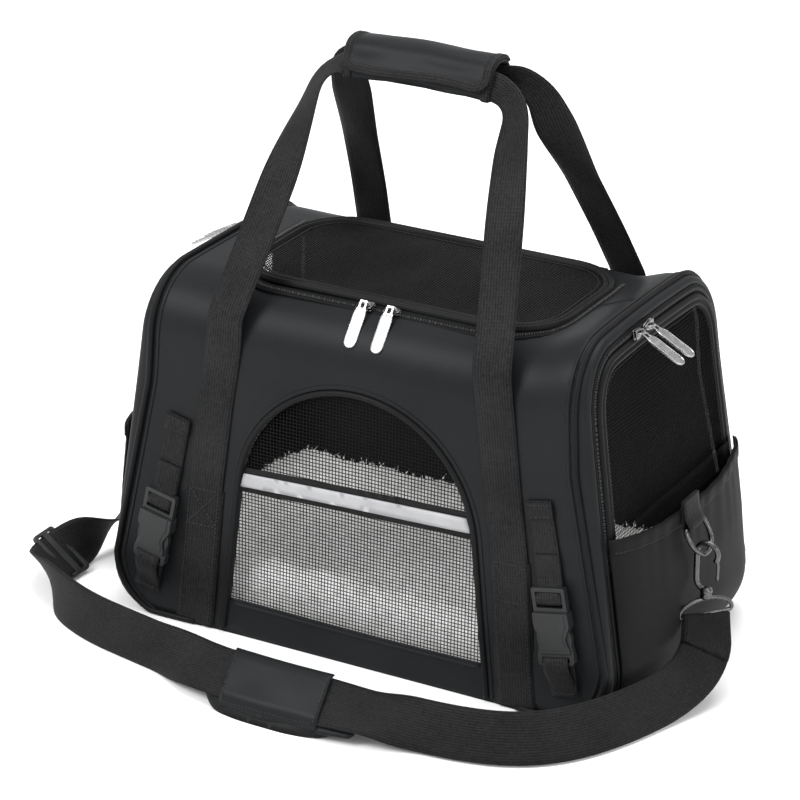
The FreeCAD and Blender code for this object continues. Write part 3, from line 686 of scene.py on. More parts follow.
def end(side, belly=0.0):
    """The flat end: y and height, and how far out. The middle of a panel may belly out."""

    def place(flat, offset):
        y, z = np.asarray(flat, float).T
        bulge = belly * smooth(1 - np.abs(y) / 88) * smooth((z - 146) / 40) * smooth((256 - z) / 40)
        wave = belly * 0.3 * ripple(y / 90, z / 80, side + 2.0) * smooth((95 - np.abs(y)) / 20)
        x = end_face(z) + offset + bulge + wave
        return settle(np.stack([side * x, y, z], axis=1))
    return place


def end_wrap(side, bulge=None):
    """The end by y and by the run up it from underneath, round its lower corner."""

    def place(flat, offset):
        y, run = np.asarray(flat, float).T
        turn = np.clip(run / CORNER, 0, math.pi / 2)
        z = np.where(run < CORNER_RUN, CORNER * (1 - np.cos(turn)), CORNER + run - CORNER_RUN)
        z = np.where(run < 0, 0.0, z)
        x = 217 - 0.14 * z - CORNER * (1 - np.sin(turn)) + np.minimum(run, 0)
        out = offset + (0 if bulge is None else bulge(y, z))
        return np.stack([side * (x + out * np.sin(turn)), y, z - out * np.cos(turn) * (run < CORNER_RUN)],
                        axis=1)
    return place


def end_edge(count=10):
    """The shell's piped edge as X and run, from underneath round the lower corner to the roof's middle."""
    corner_x = float(end_line(CORNER)) - CORNER
    line = [(corner_x - 25, 0.0)]
    line += [(corner_x + CORNER * math.sin(t), CORNER * (1 - math.cos(t)))
             for t in np.linspace(0, math.pi / 2, count)]
    runs = np.concatenate([np.arange(CORNER + 8, HALF_RUN, 8), [HALF_RUN]])
    line += [(float(end_line(arch(r)[1])), float(r)) for r in runs]
    return np.array(line)


EDGE = end_edge()

# ------------------------------------------------------------------ shell panels

LID_HALF = (133.0, 70.5)
WINDOW_SILL, WINDOW_SPRING, WINDOW_APEX = 27.0, 125.0, 212.0
WINDOW_HALF, WINDOW_RISE = 97.0, 87.0
WINDOW_SPREAD = 11.0 / 98.0
WINDOW_RADIUS = (WINDOW_HALF ** 2 + WINDOW_RISE ** 2) / (2 * WINDOW_RISE)
LID_RIM = 6
LID_CORNER = 39


def window_outline(grow, foot, count=26):
    """The arched window's outline in X and height, from its lower left round to its lower right."""
    low = WINDOW_HALF + WINDOW_SPREAD * (WINDOW_SPRING - foot) + grow
    turn = 90 + math.degrees(math.asin(WINDOW_HALF / WINDOW_RADIUS))
    centre = (0, WINDOW_APEX - WINDOW_RADIUS)
    over = arc(centre, WINDOW_RADIUS + grow, turn, 180 - turn, count)
    return [(-low, foot), *over, (low, foot)]


def lid_opening():
    """The front half of the lid's opening, as X and run, from the right to the left."""
    half_x, half_y = LID_HALF[0] - LID_RIM, LID_HALF[1] - LID_RIM
    right = arc((half_x - LID_CORNER, -half_y + LID_CORNER), LID_CORNER, -90, 0, 8)
    left = arc((-half_x + LID_CORNER, -half_y + LID_CORNER), LID_CORNER, 180, 270, 8)
    bends = [(x, HALF_RUN + y) for x, y in right[::-1] + left[::-1]]
    return [(half_x, HALF_RUN), *bends, (-half_x, HALF_RUN)]


def shell_outline():
    right = [tuple(p) for p in EDGE[1:]]
    left = [(-x, run) for x, run in right]
    return right + lid_opening() + left[::-1]


def back_of(outline):
    """The same outline on the back half of the shell."""
    return [(x, 2 * HALF_RUN - run) for x, run in outline]


def make_shell():
    front = [shell_outline(), window_outline(0, WINDOW_SILL)]
    form = skin(front, shell, 7.0, 0.0, -3.0)
    made = piece("front_panel_cloth", form, NYLON, nodes=["front_panel"])
    flat_area(front)
    back = [back_of(shell_outline())]
    made = piece("back_panel_cloth", skin(back, shell, 8.0, 0.0, -3.0), NYLON, nodes=["back_panel"])
    flat_area(back)
    base_half = float(end_line(0))
    base = [rounded(base_half + 0.5, FOOT - 1, 4, 3)]

    def underside(flat, offset):
        x, y = np.asarray(flat).T
        edge = smooth((np.abs(y) - FOOT + 7) / 6) * 1.2
        return np.stack([x, y, 0.2 + edge + offset], axis=1)
    made = piece("bottom_cloth", skin(base, underside, 14.0, 0.0, 3.0), NYLON, nodes=["bottom_panel"])
    flat_area(base)


def piping_path(side, back):
    line = EDGE.copy()
    line[:, 0] *= side
    if back:
        line[:, 1] = 2 * HALF_RUN - line[:, 1]
    return line


def make_piping():
    cords, seams = [], []
    for _, side in SIDES:
        front = piping_path(side, False)
        back = piping_path(side, True)[::-1]
        line = resample(np.concatenate([front, back[1:]]), 5, closed=False)
        path, across, up = on_surface(shell, line, 1.0)
        path[:, 0] += side * 0.8
        path[:, 2] = np.maximum(path[:, 2], 2.4)
        cords.append(sweep(path, across, up, ring(2.3, 8)))
        path, across, up = on_surface(shell, line - np.array([side * 5.0, 0]), 0.3)
        path[:, 2] = np.maximum(path[:, 2], 1.0)
        seams.append(sweep(path, across, up, tape_section(2.6, 1.0, 4)))
    piece("end_piping_cord", join(cords), BINDING, nodes=["end_piping"])
    piece("end_piping_seam", join(seams), NYLON)


# ------------------------------------------------------------------ window


def make_window():
    opening = [window_outline(1.5, WINDOW_SILL - 1.5)]
    piece("window_net", net(opening, lambda f, o: shell(f, o - 1.7), 2.75, 0.75), NET,
          nodes=["window_mesh"])
    outline = np.array(window_outline(2.2, 3.0))
    line = resample(soften(resample(outline, 3, closed=False), 2, closed=False), 4, closed=False)
    path, side, up = on_surface(shell, line, 1.3)
    rim = sweep(path, side, up, ring(2.2, 10, 0.85))
    piece("window_rim_cord", rim, BINDING, nodes=["window_piping"])
    outer = resample(window_outline(6.2, 3.0), 4, closed=False)
    piece("window_rim_seam", ribbon(shell, outer, 0.3, 3.4, 0.9), NYLON)
    sill = [(-107, WINDOW_SILL), (107, WINDOW_SILL)]
    piece("window_sill_hem", ribbon(shell, sill, -0.6, 3.4, 1.6), NYLON)
    slope = 0.036
    corners = []
    for side, height in ((-1, 121.0), (1, 121.0), (1, 141.0), (-1, 141.0)):
        z = height + side * slope * 95
        half = WINDOW_HALF + 0.112 * (WINDOW_SPRING - z)
        if z >= WINDOW_SPRING:
            half = math.sqrt(WINDOW_RADIUS ** 2 - (z - WINDOW_APEX + WINDOW_RADIUS) ** 2)
        corners.append((side * (half + 1.0), z))
    piece("window_band", skin([corners], shell, 5.0, -0.4, -1.3), RIBBON, nodes=["window_ribbon"])
    strip = [(x * 0.985, z) for x, z in corners]
    lift = (4.6, 4.6, -4.6, -4.6)
    strip = [(x, z + d) for (x, z), d in zip(strip, lift)]
    piece("reflective_band", skin([strip], shell, 4.0, 1.0, -0.2), REFLECTIVE,
          nodes=["reflective_strip"])


# ------------------------------------------------------------------ ends

BAND_INSET = 6.5


def band_point(side, run, share, plump=1.0):
    """A point on the rolled band round an end: share 0 at the piping, 1 at the zip."""
    y, z, ny, nz = arch(run)
    start = np.stack([end_line(z), y, z], axis=-1)
    inner_y, inner_z = y - ny * BAND_INSET, z - nz * BAND_INSET
    stop = np.stack([end_face(inner_z) + 0.2, inner_y, inner_z], axis=-1)
    mid_y, mid_z = y + ny * 0.8, z + nz * 0.8
    middle = np.stack([end_face(z) + 2.0 * plump, mid_y, mid_z], axis=-1)
    share = np.asarray(share)[..., None]
    spot = start * (1 - share) ** 2 + middle * 2 * share * (1 - share) + stop * share ** 2
    spot[..., 0] *= side
    return spot


def make_bands():
    """The rolled cloth band between the piping and the zip, right round each end."""
    shares = np.linspace(0, 1, 9)
    runs = np.concatenate([EDGE[1:11, 1], np.arange(CORNER + 7, 2 * HALF_RUN - CORNER, 7),
                           2 * HALF_RUN - EDGE[1:11, 1][::-1]])
    forms = []
    for _, side in SIDES:
        grid_run, grid_share = np.meshgrid(runs, shares, indexing="ij")
        outer = band_point(side, grid_run, grid_share)
        inner = outer - np.array([side * 2.0, 0, 0]) * (0.3 + grid_share[..., None])
        rows, columns = grid_run.shape
        top = settle(outer.reshape(-1, 3))
        under = settle(inner.reshape(-1, 3))
        count = rows * columns
        faces = []
        for i in range(rows - 1):
            for j in range(columns - 1):
                a = i * columns + j
                quad = (a, a + 1, a + columns + 1, a + columns)
                quad = quad if side < 0 else quad[::-1]
                faces += [quad, tuple(k + count for k in quad[::-1])]
        rim = boundary([f for f in faces if max(f) < count])
        faces += [(b, a, a + count, b + count) for a, b in rim]
        weave = np.stack([grid_share.ravel() * 20, grid_run.ravel()], axis=1)
        forms.append((np.concatenate([top, under]), faces, np.concatenate([weave, weave])))
    piece("end_band_cloth", join(forms), NYLON, nodes=["end_gussets"])


def arch_line(inset, low, step=4.0):
    """Y and height along the arch at an inset, from a height at the front to the same at the back."""
    start = low / math.cos(LEAN)
    runs = np.arange(start, 2 * HALF_RUN - start + 0.1, step)
    y, z, ny, nz = arch(runs)
    return np.stack([y - ny * inset, z - nz * inset], axis=1)


DOOR_FOOT = 118.0


def make_door(word, side):
    body = f"{word}_door"
    place = end(side, belly=3.0)
    flat_place = end(side)
    section = ridged_section(9.6, 3.6)
    line = soften(resample(arch_line(16.8, SILL + 1), 4, closed=False), 3, closed=False)
    path, across, up = on_surface(flat_place, line, 0.4)
    piece(f"{word}_door_rolled_binding", sweep(path, across, up, section), BINDING,
          body=body, nodes=[f"{word}_door_binding"])
    inner = arch_line(20.0, SILL + 1)
    piece(f"{word}_door_net", net([inner], lambda f, o: place(f, o + 1.8), 2.3, 0.72), NET,
          body=body, nodes=[f"{word}_door_mesh"])
    inset = soften(resample(arch_line(21.6, SILL + 3), 4, closed=False), 3, closed=False)
    piece(f"{word}_door_stitches", stitches(place, inset, 2.9), THREAD, body=body)
    feet, foot_low = [], DOOR_FOOT
    for edge in (-1, 1):
        start, stop = (FOOT - 16.8 - up * 10 / 226 for up in (foot_low, SILL))
        path, across, up = on_surface(flat_place, [(edge * start, foot_low), (edge * stop, SILL + 0.5)], 0.4)
        feet.append(sweep(path, across, up, section))
    piece(f"{word}_door_foot_binding", join(feet), BINDING)
    start, stop = (FOOT - 20 - up * 10 / 226 for up in (foot_low, SILL))
    foot = [(-start, foot_low), (start, foot_low), (stop, SILL), (-stop, SILL)]
    piece(f"{word}_door_foot_net", net([foot], lambda f, o: flat_place(f, o + 1.8), 2.3, 0.72), NET)


def make_door_zips():
    tapes, coils = [], []
    for _, side in SIDES:
        place = end(side)
        tapes.append(ribbon(place, arch_line(9.4, DOOR_FOOT), 0.4, 7.2, 1.0))
        coils.append(coil(place, arch_line(9.4, DOOR_FOOT), 0.8))
    piece("door_zip_cloth", join(tapes), TAPE, nodes=["door_zip_tapes"])
    piece("door_zip_coils", join(coils), COIL)


def pocket_bulge(y, z):
    heights = (4, 9, 14, 27, 50, 95, 134, 150)
    depths = (0.0, 1.2, 4.0, 10.0, 16.0, 20.6, 20.8, 20.8)
    depth = np.interp(z, heights, depths)
    across = np.clip(1 - np.abs(np.clip(y / 105.0, -1, 1)) ** 3.0, 0, 1) ** 0.55
    hem = smooth((z - 60) / 75)
    gather = 0.35 * np.sin(y * 0.36 + 1.2 * np.sin(y * 0.09)) * hem
    folds = 1.6 * ripple(y / 95, z / 150, 1.7)
    return (depth + gather + folds) * across


def make_pocket(word, side):
    """The end's lower panel, and the pouch pocket over it with its gathered hem."""
    top_run = CORNER_RUN + (DOOR_FOOT - CORNER)
    half = FOOT - BAND_INSET
    lean = 10 / 226

    def half_at(run):
        z = max(0.0, run - CORNER_RUN + CORNER)
        return half - lean * z

    panel = [[(-half_at(0), -4), (half_at(0), -4), (half_at(top_run), top_run + 4),
              (-half_at(top_run), top_run + 4)]]
    made = piece(f"{word}_lower_panel_cloth", skin(panel, end_wrap(side), 9.0, 0.2, -1.2), NYLON_POCKET,
                 nodes=[f"{word}_end_panel"])
    flat_area(panel)
    place = end_wrap(side, pocket_bulge)
    hem_run = CORNER_RUN + (144.5 - CORNER)
    columns = np.linspace(-103, 103, 40)
    sag = 6.0 * np.cos(columns / 103 * math.pi / 2) ** 1.5
    hem = [(float(y), hem_run - float(s)) for y, s in zip(columns, sag)]
    outline = [[(-103, 14), (103, 14)] + hem[::-1]]
    made = piece(f"{word}_pocket_cloth", skin(outline, place, 5.0, 1.3, 0.0), NYLON_POCKET,
                 nodes=[f"{word}_pocket"])
    flat_area(outline)
    line = resample([(y, run - 5.5) for y, run in hem], 4, closed=False)
    path, across, up = on_surface(place, line, 1.6)
    piece(f"{word}_pocket_hem", sweep(path, across, up, tape_section(11, 1.5, 6, 0.5)), NYLON_POCKET)
    piece(f"{word}_pocket_hem_stitches", stitches(place, [(y, run - 9.6) for y, run in hem], 2.5), THREAD)
    for edge in (-1, 1):
        name = f"{word}_pocket_seam_{'rear' if edge > 0 else 'front'}"
        seam = [(edge * 103, 16), (edge * 102, hem_run)]
        piece(name, ribbon(end_wrap(side), seam, 0.9, 4.0, 1.6), BINDING)


# ------------------------------------------------------------------ lid


def make_lid():
    def top(flat, offset):
        x, y = np.asarray(flat, float).T
        slack = smooth((LID_HALF[0] - 6 - np.abs(x)) / 30) * smooth((LID_HALF[1] - 6 - np.abs(y)) / 25)
        wave = 1.6 * ripple(x / 120, y / 150, 2.2) + 0.5 * ripple(x / 36, y / 200, 0.4)
        return np.stack([x, y, ROOF + 1.9 + offset + slack * wave], axis=1)

    rim = resample(rounded(LID_HALF[0] - 3.6, LID_HALF[1] - 3.6, 42), 4)
    path, across, up = on_surface(lambda f, o: top(f, o - 1.3), rim, 0.0, closed=True)
    piece("lid_rolled_binding", sweep(path, across, up, ridged_section(8.2, 3.9), closed=True), BINDING,
          body="lid", nodes=["lid_binding"])
    inner = [rounded(LID_HALF[0] - 6.4, LID_HALF[1] - 6.4, 38.6)]
    piece("lid_net", net(inner, top, 2.2, 1.05), LID_NET, body="lid", nodes=["lid_mesh"])
    line = rounded(LID_HALF[0] - 11, LID_HALF[1] - 11, 34)
    piece("lid_net_edge", ribbon(top, line, 0.7, 1.6, 0.6, closed=True), BINDING, body="lid")
    hinge = [(-108, LID_HALF[1] + 2.2), (108, LID_HALF[1] + 2.2)]
    piece("lid_hinge_cloth", ribbon(plan, hinge, 0.9, 7.0, 1.4), NYLON)
    around = rounded(LID_HALF[0] + 3.4, LID_HALF[1] + 6.0, 47)
    start = [p for p in around if p[1] < 47]
    order = sorted(range(len(start)), key=lambda i: math.atan2(start[i][0], -start[i][1] + 40))
    line = np.array([start[i] for i in order])
    line = np.concatenate([[(line[0][0], 47.0)], line, [(line[-1][0], 47.0)]])
    piece("lid_zip_cloth", ribbon(plan, line, 0.5, 8.0, 1.0), TAPE, nodes=["lid_zip_tape"])
    piece("lid_zip_coil", coil(plan, line, 0.9), COIL)


# ------------------------------------------------------------------ handles

LOOP_LEAN = math.radians(28.8)
HINGE_Y, HINGE_Z = 109.8, 249.9


WEB_FOOT, WEB_HEAD = 138, 128


def make_handle(word, side):
    """A carrying loop with its webbing down the wall, in one tape. side is -1 at the front."""
    back = side > 0
    wall_line = resample([(138, 2.5), (128, 115), (110.6, 243)], 6, closed=False)
    low = wall(wall_line, 1.2, back)
    corner = 24.0
    loop_line = [(110, 4), (74.5 + corner * 0.29, 204 - corner)]
    bend = arc((74.5 - corner * 0.62, 204 - corner), corner, 0, 90, 9)
    loop_line = loop_line + bend[1:] + [(0, 204)]
    loop_line = soften(resample(loop_line, 6, closed=False), 6, closed=False)

    def loop_place(flat, offset):
        x, up = np.asarray(flat, float).T
        sway = 1.5 * np.sin(up / 60.0 + side) * smooth(up / 60) * smooth((210 - up) / 60)
        y = -HINGE_Y + up * math.sin(LOOP_LEAN) - (offset + 0.9 + sway) * math.cos(LOOP_LEAN)
        z = HINGE_Z + up * math.cos(LOOP_LEAN) + (offset + 0.9 + sway) * math.sin(LOOP_LEAN)
        return np.stack([x, -y if back else y, z], axis=1)

    high = loop_place(loop_line, 0.0)
    right = np.concatenate([low, high])
    normal = unit(np.concatenate([wall(wall_line, 2.2, back) - low, loop_place(loop_line, 1.0) - high]))
    mirror = np.array([-1, 1, 1])
    path = np.concatenate([right[:-1], (right * mirror)[::-1]])
    rough = np.concatenate([normal[:-1], (normal * mirror)[::-1]])
    path = soften(resample(path, 5, closed=False), 5, closed=False)
    old, new = np.linspace(0, 1, len(rough)), np.linspace(0, 1, len(path))
    rough = unit(np.stack([np.interp(new, old, rough[:, k]) for k in range(3)], axis=1))
    across, up = frame_along(path, rough)
    height = path[:, 2]
    pinch = 1 - 0.30 * smooth((height - 385) / 45)
    turn = np.radians(38) * smooth((height - 340) / 70) * np.where(path[:, 0] * side > 0, 1, -0.45)
    turn *= smooth((np.abs(path[:, 0]) - 55) / 15)
    across, up = (across * np.cos(turn)[:, None] + up * np.sin(turn)[:, None],
                  up * np.cos(turn)[:, None] - across * np.sin(turn)[:, None])
    section = tape_section(30, 1.8, 8)[None] * np.stack([pinch, np.ones(len(path))], axis=1)[:, None]
    curl = 1.6 * np.sin(np.arange(len(path)) * 0.13 + side) * smooth((height - 262) / 40)
    section[..., 1] += curl[:, None] * (1 - (section[..., 0] / 15) ** 2)
    made = piece(f"{word}_handle_webbing", sweep(path, across, up, section), WEBBING, body=None,
                 nodes=[f"{word}_handle", f"{word}_webbing"])
    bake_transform(made)
    rows = []
    for sign in (-1, 1):
        for offset in (-12.5, 12.5):
            line = [(sign * WEB_FOOT + offset, 4), (sign * WEB_HEAD + offset, 113)]
            rows.append(stitches(lambda f, o: wall(f, o, back), line, 2.25))
        box = [(-12.5, 113), (12.5, 113), (-12.5, 84), (12.5, 84), (-12.5, 113)]
        for p, q in zip(box, box[1:]):
            line = [(sign * (WEB_FOOT - 10 * z / 112) + x, z) for x, z in (p, q)]
            rows.append(stitches(lambda f, o: wall(f, o, back), line, 2.25))
    piece(f"{word}_webbing_stitches", join(rows), THREAD)
    patch = []
    for sign in (-1, 1):
        line = [(sign * WEB_FOOT, 3), (sign * WEB_HEAD, 115)]
        patch.append(ribbon(lambda f, o: wall(f, o, back), line, 0.5, 33, 1.0, step=8))
    piece(f"{word}_webbing_backing", join(patch), WEBBING)


GRIP_LOW, GRIP_HIGH = 414.5, 449.0

GRIP_MIDDLE, GRIP_DRAWN_MIDDLE = 430.0, 431.8
GRIP_SLIM, GRIP_SQUAT = 0.82, 0.70


def grip_section(share):
    """A point round the grip's wrap: share 0 at the front lower edge, over the top, and back to it under."""
    corners = np.array([(-23.5, 415), (-24.5, 418), (-13.5, 446), (-9, 449.5), (0, 450.4), (9, 449.5),
                        (13.5, 446),
                        (24.5, 418), (23.5, 415), (12, 413.6), (0, 413.2), (-12, 413.6), (-23.5, 415)])
    line = soften(resample(corners, 2.0, closed=False), 8, closed=False)
    along = np.concatenate([[0], np.cumsum(np.linalg.norm(np.diff(line, axis=0), axis=1))])
    spots = np.asarray(share) * along[-1]
    y, z = (np.interp(spots, along, line[:, k]) for k in (0, 1))
    slope = np.stack([np.gradient(line[:, 0], along), np.gradient(line[:, 1], along)], axis=1)
    ty, tz = (np.interp(spots, along, slope[:, k]) for k in (0, 1))
    size = np.hypot(ty, tz)
    high = GRIP_MIDDLE + (z - GRIP_DRAWN_MIDDLE) * GRIP_SQUAT
    return y * GRIP_SLIM, high, -tz / size, ty / size, along[-1]


GRIP_GIRTH = float(grip_section(0.0)[4])


def grip(flat, offset):
    """The grip's surface: x, and the run round it from the front lower edge."""
    x, run = np.asarray(flat, float).T
    y, z, ny, nz, _ = grip_section(np.clip(run / GRIP_GIRTH, 0, 1))
    out = offset + 0.7 * ripple(x / 55, run / 45, 3.0)
    bow = 2.0 * (1 - (x / 58) ** 2)
    waist = 1 - 0.10 * np.cos(np.clip(x / 66, -1, 1) * math.pi / 2) * smooth((430 - z) / 15)
    return np.stack([x, y * waist + ny * out, z + nz * out + bow], axis=1)


def make_grip():
    wrap = [[(-58, 0.2), (55, 0.2), (55, GRIP_GIRTH - 0.2), (-58, GRIP_GIRTH - 0.2)]]
    made = piece("grip_wrap_cloth", skin(wrap, grip, 4.0, 0.0, -2.2), NYLON, body="front_handle",
                 nodes=["handle_grip"])
    low, high = 10.5, 62.0
    edge = [(-59, high)] + arc((-48, low + 11), 11, 180, 270, 6)
    wavy = [(x, low + 1.6 * math.sin(x / 17.0)) for x in np.arange(-40, 44, 6)]
    edge += wavy + arc((46, low + 9), 9, 270, 360, 6) + [(55, high)]

    def flap(flat, offset):
        x, run = np.asarray(flat, float).T
        stand = 3.0 + 2.2 * smooth((24 - run) / 14) * (0.6 + 0.4 * np.sin(x / 23.0))
        return grip(flat, offset + stand)
    made = piece("grip_flap_cloth", skin([edge], flap, 3.5, 0.0, -1.8), NYLON, body="front_handle")
    flat_area([edge]) * 0.8
    line = soften(resample(edge, 3, closed=False), 2, closed=False)
    path, across, up = on_surface(flap, line, -0.7)
    piece("grip_flap_binding", sweep(path, across, up, tape_section(6.5, 3.4, 6)), WEBBING,
          body="front_handle")
    ends = []
    for x in (-57.6, 54.6):
        line = [(x, run) for run in np.linspace(0.5, GRIP_GIRTH - 0.5, 40)]
        path, across, up = on_surface(grip, line, -0.4)
        ends.append(sweep(path, across, up, tape_section(7.0, 3.6, 6)))
    piece("grip_end_bindings", join(ends), WEBBING, body="front_handle")
    row = [(x * 0.93, run + 5.2 if run < 40 else run) for x, run in edge]
    piece("grip_flap_stitches", stitches(flap, soften(resample(row, 3, closed=False), 2, closed=False), 0.2),
          THREAD, body="front_handle")


# ------------------------------------------------------------------ side-release tethers

TETHER_TOP, TETHER_FOOT = np.array([150.0, 167.0]), np.array([178.0, 25.0])
TETHER_UNIT = (TETHER_FOOT - TETHER_TOP) / np.linalg.norm(TETHER_FOOT - TETHER_TOP)


def tether(side):
    """A tether's own surface on the front wall: across it, and down it from its top."""
    across = np.array([-TETHER_UNIT[1], TETHER_UNIT[0]])

    def place(flat, offset):
        flat = np.asarray(flat, float)
        spot = TETHER_TOP + flat[:, :1] * across + flat[:, 1:] * TETHER_UNIT
        spot = spot * np.array([side, 1])
        base = wall(spot, 0.0)
        normal = np.array([0, -math.cos(LEAN), math.sin(LEAN)])
        return base + normal * np.asarray(offset).reshape(-1,
                                                          1) if np.ndim(offset) else base + normal * offset
    return place


def tether_tape(place, profile, width):
    """A tape whose path down a tether is given as distance down and standoff."""
    line = soften(resample(profile, 2.0, closed=False), 3, closed=False)
    flat = np.stack([np.zeros(len(line)), line[:, 0]], axis=1)
    path = place(flat, line[:, 1])
    across = unit(place(flat + [1, 0], line[:, 1]) - path)
    heading = unit(np.gradient(path, axis=0))
    up = unit(np.cross(across, heading))
    return sweep(path, across, up, tape_section(width, 1.5, 6))


def make_tether(word, side):
    place = tether(side)
    body = f"{word}_buckle_female_body"
    upper = [(0, 1.6), (30, 1.5), (50, 1.7), (62, 3.4), (68, 7.8), (71, 9.9), (74, 9.9), (77, 6.2),
             (76.5, 3.4),
             (70, 1.9), (52, 3.0), (40, 3.3)]
    made = piece(f"{word}_tether_tape", tether_tape(place, upper, 20), WEBBING, body="root",
                 nodes=[f"{word}_buckle_webbing"])
    piece(f"{word}_tether_hem", ribbon(place, [(0, 1), (0, 14)], 2.6, 21, 1.6), WEBBING)
    rows = [stitches(place, [(-8.5, s), (8.5, s)], 3.7) for s in (3.0, 11.5)]
    piece(f"{word}_tether_hem_stitches", join(rows), THREAD)
    anchor = Vector(place([(0, 0)], 0.0)[0]) * MM
    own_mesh(made)
    frame_loop = [[(a, s + 72.8) for a, s in rounded(13.4, 9.6, 1.6, 4)]]
    slots = [[(a, s + mid) for a, s in rounded(10.6, 2.1, 0.8, 3)] for mid in (68.4, 76.2)]
    ladder = piece(f"{word}_ladder_lock", slab(frame_loop + slots, place, 3.6, 8.6), PLASTIC, body=body,
                   nodes=[f"{word}_buckle_female"])
    bevelled(ladder, 0.7)
    shape = [(14, 81.5), (14.4, 90)]
    shape += [(14.0, 93), (12.0, 96.5), (10.2, 100.5), (10.4, 104.5), (12.2, 108.5), (12.6, 111.8)]
    outline = shape + [(-a, s) for a, s in reversed(shape)]
    shell_piece = piece(f"{word}_receptacle", slab([outline], place, 1.8, 10.8), PLASTIC, body=body)
    bevelled(shell_piece, 1.4, 3)
    crown = [(a * 0.8, 83.5 + (s - 83.5) * 0.9) for a, s in outline]
    face = piece(f"{word}_receptacle_face", slab([crown], place, 9.8, 11.4), PLASTIC, body=body)
    bevelled(face, 0.6)


def make_males():
    """The fixed halves: a slotted bar with three prongs, and the folded tape that holds it."""
    bars, tapes, patches, rows = [], [], [], []
    for _, side in SIDES:
        place = tether(side)
        outline = [(-14.4, 113), (-12.5, 112.3), (12.5, 112.3), (14.4, 113), (14.2, 119.5), (12.8, 121),
                   (-12.8, 121),
                   (-14.2, 119.5)]
        slot = [(a, s + 116.8) for a, s in rounded(10.6, 1.9, 0.8, 3)]
        bars.append(slab([outline, slot], place, 3.3, 9.3))
        for sign in (-1, 1):
            prong = [(8.2, 113), (8.0, 103), (9.4, 97), (11.2, 94.6), (13.2, 97), (14.0, 101), (13.2, 106.5),
                     (13.6, 110), (14.2, 113)]
            bars.append(slab([[(sign * a, s) for a, s in prong]], place, 3.9, 8.6))
        bars.append(slab([[(-1.2, 113), (1.2, 113), (1.2, 93), (-1.2, 93)]], place, 4.6, 7.6))
        profile = [(145, 1.2), (136, 4.2), (128, 9.4), (121, 11.6), (115.5, 10.6), (114.4, 6.4), (117, 2.8),
                   (126, 1.6), (144, 1.4)]
        tapes.append(tether_tape(place, profile, 20))
        patches.append(ribbon(place, [(0, 136), (0, 147)], 3.0, 21, 1.4))
        rows += [stitches(place, [(-8.5, s), (8.5, s)], 4.0) for s in (138.5, 144.5)]
    bevelled(piece("male_buckles", join(bars), PLASTIC, nodes=["buckle_males"]), 0.7)
    piece("anchor_tapes", join(tapes), WEBBING, nodes=["buckle_anchors"])
    piece("anchor_patches", join(patches), WEBBING)
    piece("anchor_stitches", join(rows), THREAD)


# ------------------------------------------------------------------ zip sliders and pulls


def joint_of(name):
    return next(j for j in frame["joints"] if j["name"] == name)


def frame_from(origin, along, across):
    """A flat place function: first number across, second along, offset on their normal."""
    along, across = unit(np.array(along, float)), unit(np.array(across, float))
    normal = unit(np.cross(across, along))

    def place(flat, offset):
        flat = np.asarray(flat, float)
        base = np.array(origin, float) + flat[:, :1] * across + flat[:, 1:] * along
        return base + normal * (np.asarray(offset).reshape(-1, 1) if np.ndim(offset) else offset)
    return place


def make_pull(name, body, origin, along, across, material):
    """A zip pull: a flat tab with a raised rim and an eye at its hinge end."""
    place = frame_from(origin, along, across)
    neck = [(2.9, -1.2), (3.1, 4), (4.3, 6.5), (4.9, 10), (4.9, 31)]
    tip = arc((0, 31), 4.9, 0, 180, 12)
    outline = neck + tip[1:-1] + [(-a, s) for a, s in reversed(neck)]
    eye = [(a, s + 2.6) for a, s in rounded(1.5, 2.2, 1.0, 4)]
    plate = slab([outline, eye], place, -0.5, 0.5)
    rim = [(a * 0.9, s if s < 20 else 31 + (s - 31) * 0.9) for a, s in outline[2:-2]]
    rim = soften(resample(rim, 1.5), 1)
    path, side, up = on_surface(place, rim, 0.45, closed=True)
    raised = [sweep(path, side, up, ring(0.55, 6), closed=True)]
    path, side, up = on_surface(place, rim, -0.45, closed=True)
    raised.append(sweep(path, side, up, ring(0.55, 6), closed=True))
    made = piece(name + "_tab", plate, material, body=body, nodes=[name])
    bevelled(made, 0.3)
    piece(name + "_rim", join(raised), material, body=body)


def make_slider(name, body, spot, normal, along):
    """A zip slider: a waisted two-deck body with a bail over it."""
    across = np.cross(unit(np.array(normal, float)), unit(np.array(along, float)))
    place = frame_from(spot, along, across)
    sign = 1 if np.dot(np.cross(unit(across), unit(np.array(along, float))), normal) > 0 else -1
    half = [(3.6, -6), (3.9, -3), (3.0, 1), (2.3, 5), (1.2, 6.2)]
    outline = half + [(-a, s) for a, s in reversed(half)]
    decks = [slab([outline], place, *sorted((sign * 0.2, sign * 1.3)))]
    decks.append(slab([[(a * 0.96, s * 0.98) for a, s in outline]], place, *sorted((sign * 2.4, sign * 3.4))))
    decks.append(slab([[(1.6, -1), (1.6, 4.6), (-1.6, 4.6), (-1.6, -1)]], place,
                      *sorted((sign * 1.1, sign * 2.6))))
    bridge = np.array([(-4.2, 3.0), (-3.6, 4.8), (-1.5, 5.7), (1.5, 5.7), (3.6, 4.8), (4.2, 3.0)])
    flat = np.stack([np.zeros(6), bridge[:, 0]], axis=1)
    path = place(flat, sign * bridge[:, 1])
    path = soften(resample(path, 0.8, closed=False), 2, closed=False)
    side = np.broadcast_to(unit(across), path.shape)
    up = unit(np.cross(unit(np.gradient(path, axis=0)), side))
    decks.append(sweep(path, side, up, ring(1.15, 8, 0.6)))
    bevelled(piece(name + "_shell", join(decks), SLIDER_METAL, body=body, nodes=[name]),
             0.3)


HINGE_STAND = 6
LID_FACE = math.radians(108)
LID_PULL_DROP = math.radians(40)
DOOR_PULL_DIP = math.radians(28)


